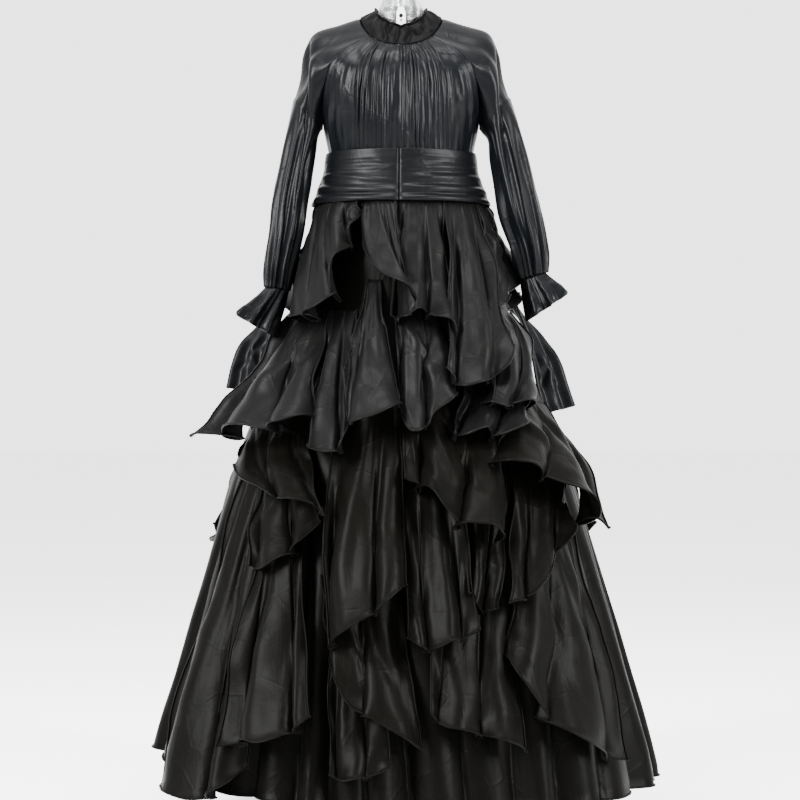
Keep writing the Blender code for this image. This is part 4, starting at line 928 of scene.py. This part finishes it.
COLLAR_CREASES = [
    # along_from, down_from, along_to, down_to, half_width, height: along runs from the back round
    (0.515, 0.0, 0.59, 0.62, 0.003, 0.0058),
    (0.488, 0.1, 0.474, 0.98, 0.0032, 0.0036),
    (0.55, 0.4, 0.52, 0.95, 0.006, -0.0036),
    (0.445, 0.0, 0.405, 0.7, 0.007, -0.0052),
    (0.402, 0.25, 0.44, 0.95, 0.0045, 0.0044),
    (0.345, 0.05, 0.372, 0.85, 0.006, 0.0036),
    (0.64, 0.05, 0.62, 0.75, 0.007, -0.0036),
    (0.6, 0.1, 0.655, 0.9, 0.005, 0.003),
    (0.23, 0.05, 0.26, 0.8, 0.007, -0.0026),
    (0.76, 0.05, 0.74, 0.8, 0.007, 0.0024),
    (0.1, 0.05, 0.13, 0.8, 0.007, 0.0026),
    (0.9, 0.05, 0.88, 0.8, 0.007, -0.0026),
]
COLLAR_BLACK = satin("collar_satin", (0.0003, 0.0003, 0.0003), (0.0009, 0.0009, 0.0010), 0.44, 0.018,
                     0.0003, 0.0002)
turn = np.linspace(-180.0, 180.0, 200, endpoint=False)
angle = np.radians(turn)
away = np.abs(turn)
sign = np.sign(turn)
low = np.stack([sign * smooth(COLLAR_SEAM, away, 1), -smooth(COLLAR_SEAM, away, 2),
                smooth(COLLAR_SEAM, away, 3) + 0.0013], axis=-1)
radius = smooth(COLLAR_TOP, away, 1)
high = np.stack([radius * np.sin(angle), -radius * np.cos(angle),
                 smooth(COLLAR_TOP, away, 2)], axis=-1)
high[:, 2] += 0.0022 * wander(turn, 0.035, 35)
high[:, 2] -= 0.0035 * np.exp(-((away - 88.0) / 16.0) ** 2)
fall = shares(30)
collar = np.array([high * (1 - t) + low * t for t in fall])
crumple = creases(COLLAR_CREASES, (turn + 180.0) / 360.0, fall, 0.42, 0.045)
crumple += 0.0016 * lumps(collar, 0.022, 31) * np.sin(fall * math.pi)[:, None]
crumple *= unit((1.0 - fall) * 6.0)[:, None]
collar = raise_by(collar, crumple, True)[::-1, ::-1]
cloth("collar_stand", collar, COLLAR_BLACK, "collar",
      around=True, hem=True)


# Sash: a wide band of the bodice satin laid in soft pleats round the waist, with a seam down the
# centre front. It fastens behind under a knot, and its two tails hang forward past the hips.
SASH_BLUE = satin("sash_satin", (0.0004, 0.0005, 0.0006), (0.0015, 0.0017, 0.0021), 0.36, 0.048,
                  0.0006, 0.0)
SASH_PROFILE = [
    # height, half_width, half_depth
    (1.178, 0.169, 0.133),
    (1.205, 0.159, 0.125),
    (1.235, 0.148, 0.117),
    (1.276, 0.1425, 0.1138),
]
SASH_PLEATS = [
    # from, to, lift, slope: shares of the band's height, and how far a pleat drops to the side
    (0.0, 0.42, 0.001, 0.02),
    (0.42, 0.64, 0.002, -0.05),
    (0.64, 0.84, 0.0026, 0.05),
    (0.84, 1.0, 0.0034, 0.0),
]
SASH_CREASES_RIGHT = [
    # along_from, down_from, along_to, down_to, half_width, height
    (0.05, 0.17, 1.0, 0.14, 0.003, 0.0012),
    (0.2, 0.27, 1.0, 0.26, 0.0035, -0.0014),
    (0.1, 0.36, 1.0, 0.34, 0.003, 0.0012),
    (0.0, 0.5, 0.45, 0.42, 0.0045, 0.0028),
    (0.3, 0.44, 1.0, 0.6, 0.004, 0.003),
    (0.0, 0.58, 0.6, 0.64, 0.005, -0.0034),
    (0.02, 0.67, 0.98, 0.77, 0.005, 0.0036),
    (0.0, 0.78, 0.9, 0.86, 0.004, -0.0036),
    (0.0, 0.88, 1.0, 0.94, 0.005, 0.0032),
    (0.8, 0.2, 1.0, 0.32, 0.0035, 0.0014),
]
SASH_CREASES_LEFT = [
    # along_from, down_from, along_to, down_to, half_width, height
    (0.0, 0.1, 0.6, 0.14, 0.003, 0.0012),
    (0.0, 0.2, 0.8, 0.24, 0.0035, -0.0014),
    (0.0, 0.34, 0.9, 0.3, 0.0035, 0.0018),
    (0.0, 0.4, 0.8, 0.42, 0.004, -0.0024),
    (0.05, 0.52, 1.0, 0.49, 0.0045, 0.003),
    (0.0, 0.6, 0.9, 0.66, 0.005, -0.0034),
    (0.02, 0.7, 1.0, 0.76, 0.005, 0.0036),
    (0.05, 0.83, 0.95, 0.87, 0.004, -0.0036),
    (0.0, 0.93, 1.0, 0.95, 0.005, 0.0032),
    (0.0, 0.26, 0.22, 0.12, 0.003, 0.0014),
]
SIDE_PLEAT_SHARE = 0.35
SASH_SAG = 0.004
SASH_CENTRE_TURN = -1.5


def sash(first, last, columns, lines, seed):
    """A stretch of the pleated band, between two turns."""
    turn = np.linspace(first, last, columns)
    angle = np.radians(turn)
    top = SASH_PROFILE[-1][0]
    low = SASH_PROFILE[0][0]
    sideways = np.abs(turn) / 90.0
    pinch = 1.0 - 0.65 * np.exp(-((turn - SASH_CENTRE_TURN) / 3.5) ** 2)
    rows = []
    for fall in shares(80):
        lift = np.zeros(columns)
        for number, (start, end, height, slope) in enumerate(SASH_PLEATS):
            drift = 0.035 * wander(turn, 0.045, seed + number) + slope * sideways
            place = fall + drift * math.sin(math.pi * fall)
            share = unit((place - start) / (end - start))
            bold = 1.0 + 0.6 * wander(turn, 0.05, seed + number + 9)
            edge = np.sin(unit((1.0 - share) / 0.40) * math.pi / 2)
            lift += np.where((place >= start) & (place < end), height * bold * share ** 0.8 * edge, 0.0)
        lift *= (SIDE_PLEAT_SHARE + (1.0 - SIDE_PLEAT_SHARE) * np.cos(angle) ** 2) * pinch
        height = top + (low - top) * fall
        sag = SASH_SAG * math.sin(math.pi * fall) * np.cos(angle) ** 2
        turned_in = 0.0022 * np.exp(-((turn - SASH_CENTRE_TURN) / 0.9) ** 2)
        wide = smooth(SASH_PROFILE, height, 1) + lift - turned_in
        deep = smooth(SASH_PROFILE, height, 2) + lift - turned_in
        rows.append(np.stack([wide * np.sin(angle), -deep * np.cos(angle), height - sag], axis=-1))
    grid = np.array(rows)
    fall = shares(len(grid))
    along = shares(columns) + 0.02 * wander(fall, 9.0, seed)[0]
    soft = 0.75 * creases(lines, along, fall, 0.23, 0.098) * pinch
    return raise_by(grid, soft + 0.0015 * lumps(grid * (0.35, 0.35, 1.0), 0.016, seed) * pinch)


SASH_STRETCHES = [
    # name, first, last, columns, creases, seed, bodice
    ("left", SASH_CENTRE_TURN + 0.1, 89.9, 100, SASH_CREASES_LEFT, 41, "front"),
    ("right", -89.9, SASH_CENTRE_TURN - 0.1, 100, SASH_CREASES_RIGHT, 61, "front"),
    ("back", 90.1, 269.9, 140, SASH_CREASES_LEFT, 81, "back"),
]
for name, first, last, columns, lines, seed, under in SASH_STRETCHES:
    cloth(f"sash_{name}_pleats", sash(first, last, columns, lines, seed), SASH_BLUE,
          f"sash_{name}")

TAIL_LEFT = [
    # across, out, height, sideways_turn, half_width
    (0.0324, -0.1457, 1.206, 10.0, 0.01),
    (0.095, -0.176, 1.15, 25.0, 0.026),
    (0.16, -0.172, 1.06, 52.0, 0.036),
    (0.228, -0.13, 0.985, 104.0, 0.037),
    (0.272, -0.088, 0.905, 130.0, 0.039),
    (0.29, -0.078, 0.84, 140.0, 0.04),
    (0.304, -0.074, 0.792, 141.0, 0.041),
]
TAIL_RIGHT = [
    # across, out, height, sideways_turn, half_width
    (0.0324, -0.1457, 1.206, 10.0, 0.01),
    (0.095, -0.176, 1.155, 25.0, 0.026),
    (0.16, -0.174, 1.072, 52.0, 0.036),
    (0.232, -0.136, 1.0, 102.0, 0.037),
    (0.276, -0.092, 0.93, 132.0, 0.039),
    (0.296, -0.08, 0.872, 144.0, 0.04),
    (0.303, -0.074, 0.832, 150.0, 0.04),
]
TAIL_CREASES = [
    # along_from, down_from, along_to, down_to, half_width, height
    (0.15, 0.62, 0.85, 0.86, 0.006, 0.005),
    (0.85, 0.6, 0.15, 0.88, 0.006, -0.0045),
    (0.35, 0.1, 0.4, 0.6, 0.007, 0.004),
    (0.7, 0.15, 0.6, 0.55, 0.006, -0.004),
    (0.55, 0.84, 0.5, 1.0, 0.006, 0.0035),
]


def tail(table, side, seed):
    """A ribbon along a line; sideways_turn says which way its face looks."""
    down = shares(70)
    line = through(table, down)
    along = np.gradient(line[:, :3], axis=0)
    u = np.linspace(-1.0, 1.0, 30)
    grid = []
    for (across, out, height, look, half_width), way in zip(line, along):
        facing = np.array([math.sin(math.radians(look)), -math.cos(math.radians(look)), 0.0])
        path = way / np.linalg.norm(way)
        broad = np.cross(facing, path)
        broad /= np.linalg.norm(broad)
        face = np.cross(path, broad)
        curl = 0.006 * np.cos(2.2 * math.pi * u[:, None]) * half_width / 0.036
        spot = np.array([across, out, height]) + broad * u[:, None] * half_width + face * curl
        grid.append(spot * (side, -1.0, 1.0))
    grid = np.array(grid)
    if side < 0:
        grid = grid[:, ::-1]
    soft = creases(TAIL_CREASES, (u + 1.0) / 2.0, down, 0.075, 0.48)
    return raise_by(grid, soft + 0.0020 * lumps(grid, 0.05, seed))


for name, grid in (("left", tail(TAIL_LEFT, 1, 51)), ("right", tail(TAIL_RIGHT, -1, 53))):
    cloth(f"tail_{name}_satin", grid, SASH_BLUE, f"tail_{name}",
          hem=True, sides=True)

KNOT_CENTRE = (0.0, 0.1439, 1.212)
KNOT_RADII = (0.030, 0.014, 0.026)
bpy.ops.object.select_all(action="DESELECT")
bpy.ops.mesh.primitive_uv_sphere_add(segments=48, ring_count=32, radius=1.0, location=KNOT_CENTRE)
knot = bpy.context.object
knot.name = "sash_knot_wrap"
knot.scale = KNOT_RADII
bpy.ops.object.transform_apply(location=True, rotation=True, scale=True)
for vertex in knot.data.vertices:
    way = math.atan2(vertex.co.z - KNOT_CENTRE[2], vertex.co.x)
    vertex.co.x *= 1.0 + 0.08 * math.cos(6 * way)
    vertex.co.y += 0.0015 * math.cos(9 * way)
knot.data.uv_layers[0].name = "cut"
bpy.ops.object.shade_smooth()
knot.data.materials.append(SASH_BLUE)
put_on(knot, "sash_knot")


# Clear form: a moulded hollow torso of clear plastic with a neck and no limbs, on a steel post and
# foot. The dress hangs on it, and only the neck, its rim and a hang tab of the same clear plastic
# show above the collar.
FORM_PROFILE = [
    # height, half_width, half_depth
    (1.6, 0.031, 0.031),
    (1.596, 0.0335, 0.0335),
    (1.57, 0.034, 0.034),
    (1.552, 0.043, 0.043),
    (1.542, 0.043, 0.043),
    (1.537, 0.04, 0.04),
    (1.51, 0.043, 0.0415),
    (1.488, 0.102, 0.056),
    (1.462, 0.138, 0.072),
    (1.4, 0.142, 0.09),
    (1.325, 0.136, 0.096),
    (1.275, 0.132, 0.0955),
    (1.2245, 0.135, 0.102),
    (1.218, 0.1385, 0.1056),
    (1.12, 0.148, 0.112),
    (1.0, 0.158, 0.124),
]
FORM_WALL = 0.003
RIM_HEIGHT = 1.5465
RIM_HALF = 0.0065
bpy.ops.object.select_all(action="DESELECT")
bpy.ops.mesh.primitive_circle_add(vertices=72, radius=1.0, fill_type="NGON",
                                  location=(0.0, 0.0, 0.0))
form = bpy.context.object
form.name = "form_torso"
bpy.ops.object.mode_set(mode="EDIT")
bpy.ops.mesh.select_all(action="SELECT")
bpy.ops.transform.resize(value=(FORM_PROFILE[0][1], FORM_PROFILE[0][2], 1.0),
                         center_override=(0.0, 0.0, 0.0))
bpy.ops.transform.translate(value=(0.0, 0.0, FORM_PROFILE[0][0]))
bpy.ops.mesh.select_mode(type="EDGE")
bpy.ops.mesh.region_to_loop()
for above, below in zip(FORM_PROFILE, FORM_PROFILE[1:]):
    bpy.ops.mesh.extrude_edges_move(
        TRANSFORM_OT_translate={"value": (0.0, 0.0, below[0] - above[0])})
    bpy.ops.transform.resize(value=(below[1] / above[1], below[2] / above[2], 1.0),
                             center_override=(0.0, 0.0, below[0]))
bpy.ops.mesh.select_all(action="SELECT")
bpy.ops.mesh.normals_make_consistent(inside=False)
bpy.ops.object.mode_set(mode="OBJECT")
wall = form.modifiers.new("wall", "SOLIDIFY")
wall.thickness = FORM_WALL
wall.offset = -1.0
bpy.ops.object.modifier_apply(modifier="wall")
bpy.ops.object.shade_smooth()
clear = Finish("clear_plastic")
around = clear.node("ShaderNodeTexCoord", 3)
# Painted reflection and shade on the clear neck: grey vertical streaks and a grey band round the rim
# darken the colour and cloud the plastic above the rim's lower edge.
painted_reflection_streaks = clear.streaked(around, (85.0, 85.0, 3.0), Detail=2.0)
height = clear.node("ShaderNodeSeparateXYZ", 2, Vector=around)
painted_rim_shade = (1.0 - ((height - RIM_HEIGHT) * (1.0 / RIM_HALF)) ** 2.0).clipped()
painted_reflection_and_shade = ((painted_reflection_streaks - 0.46) * 6.0 + painted_rim_shade * 0.8).clipped()
neck = ((height - RIM_HEIGHT + RIM_HALF) * 300.0).clipped()
clear.surface(Base_Color=clear.mixed(painted_reflection_and_shade, (0.30, 0.31, 0.31), (0.045, 0.048, 0.048)),
              Alpha=0.04 + neck * (0.12 + painted_reflection_and_shade * 0.55), Roughness=0.10, IOR=1.30)
form.data.materials.append(clear.material)
put_on(form, "form_shell")
# Painted shade: a dark disk drawn on the tab in place of the dark seen through a hole in it.
TAB_HOLE_SHADE_SPOT = (0.0, 0.0, 1.5325)
TAB_HOLE_SHADE_SPOT_RADIUS = 0.0042
card = Finish("clear_tab_plastic")
spot = card.node("ShaderNodeTexCoord", 3)
spot = card.node("ShaderNodeVectorMath", 0, {"operation": "SUBTRACT"}, Vector=spot)
spot.socket.node.inputs[1].default_value = TAB_HOLE_SHADE_SPOT
spot = card.node("ShaderNodeVectorMath", 0, {"operation": "MULTIPLY"}, Vector=spot)
spot.socket.node.inputs[1].default_value = (1.0, 0.0, 1.0)
spot = card.node("ShaderNodeVectorMath", 1, {"operation": "LENGTH"}, Vector=spot)
# dark is the painted hole shade: black inside the disk, with the tab's grey outside it.
dark = ((TAB_HOLE_SHADE_SPOT_RADIUS - spot) * 3000.0).clipped()
card.surface(Base_Color=card.mixed(dark, (0.42, 0.43, 0.42), (0.001, 0.001, 0.001)),
             Roughness=0.5, Specular_IOR_Level=0.05)
steel = Finish("brushed_steel")
grain = steel.streaked(steel.node("ShaderNodeTexCoord", 3), (30.0, 30.0, 900.0), Detail=2.0)
steel.surface(Base_Color=(0.60, 0.61, 0.62, 1.0), Metallic=1.0,
              Roughness=(0.24 + grain * 0.12).clipped())
for node, finish in (("form_tab", card), ("form_post", steel), ("form_foot", steel)):
    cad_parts[node].data.materials.clear()
    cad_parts[node].data.materials.append(finish.material)


# Studio: a wide floor of pale paper under an even white room. Large soft lights stand at both sides
# of the dress and above it.
FLOOR = (0.95, 0.95, 0.95)
bpy.ops.mesh.primitive_plane_add(size=60.0, location=(0.0, 0.0, -0.0005))
floor = bpy.context.object
floor.name = "studio_floor"
paper = Finish("studio_paper")
paper.surface(Base_Color=(*FLOOR, 1.0), Roughness=1.0, Specular_IOR_Level=0.0)
floor.data.materials.append(paper.material)
floor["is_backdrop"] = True

WHITE_ROOM = 3.2
world = bpy.data.worlds.new("studio")
world.use_nodes = True
world.node_tree.nodes["Background"].inputs["Color"].default_value = (1.0, 1.0, 1.0, 1.0)
world.node_tree.nodes["Background"].inputs["Strength"].default_value = WHITE_ROOM
bpy.context.scene.world = world
SOFT_LIGHTS = [
    # name, x, y, z, width, height, power
    ("key", -2.6, -2.4, 2.6, 0.8, 2.4, 900.0),
    ("fill", 2.8, -2.0, 2.0, 0.6, 2.4, 620.0),
    ("top", 0.0, -0.6, 3.6, 1.6, 0.9, 170.0),
]
for name, x, y, z, width, height, power in SOFT_LIGHTS:
    lamp = bpy.data.lights.new(name, "AREA")
    lamp.shape = "RECTANGLE"
    lamp.size = width
    lamp.size_y = height
    lamp.energy = power
    holder = bpy.data.objects.new(name, lamp)
    holder.location = (x, y, z)
    holder.rotation_euler = (Vector((0.0, 0.0, 0.8)) - holder.location).to_track_quat("-Z", "Y") \
        .to_euler()
    bpy.context.collection.objects.link(holder)

low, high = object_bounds()
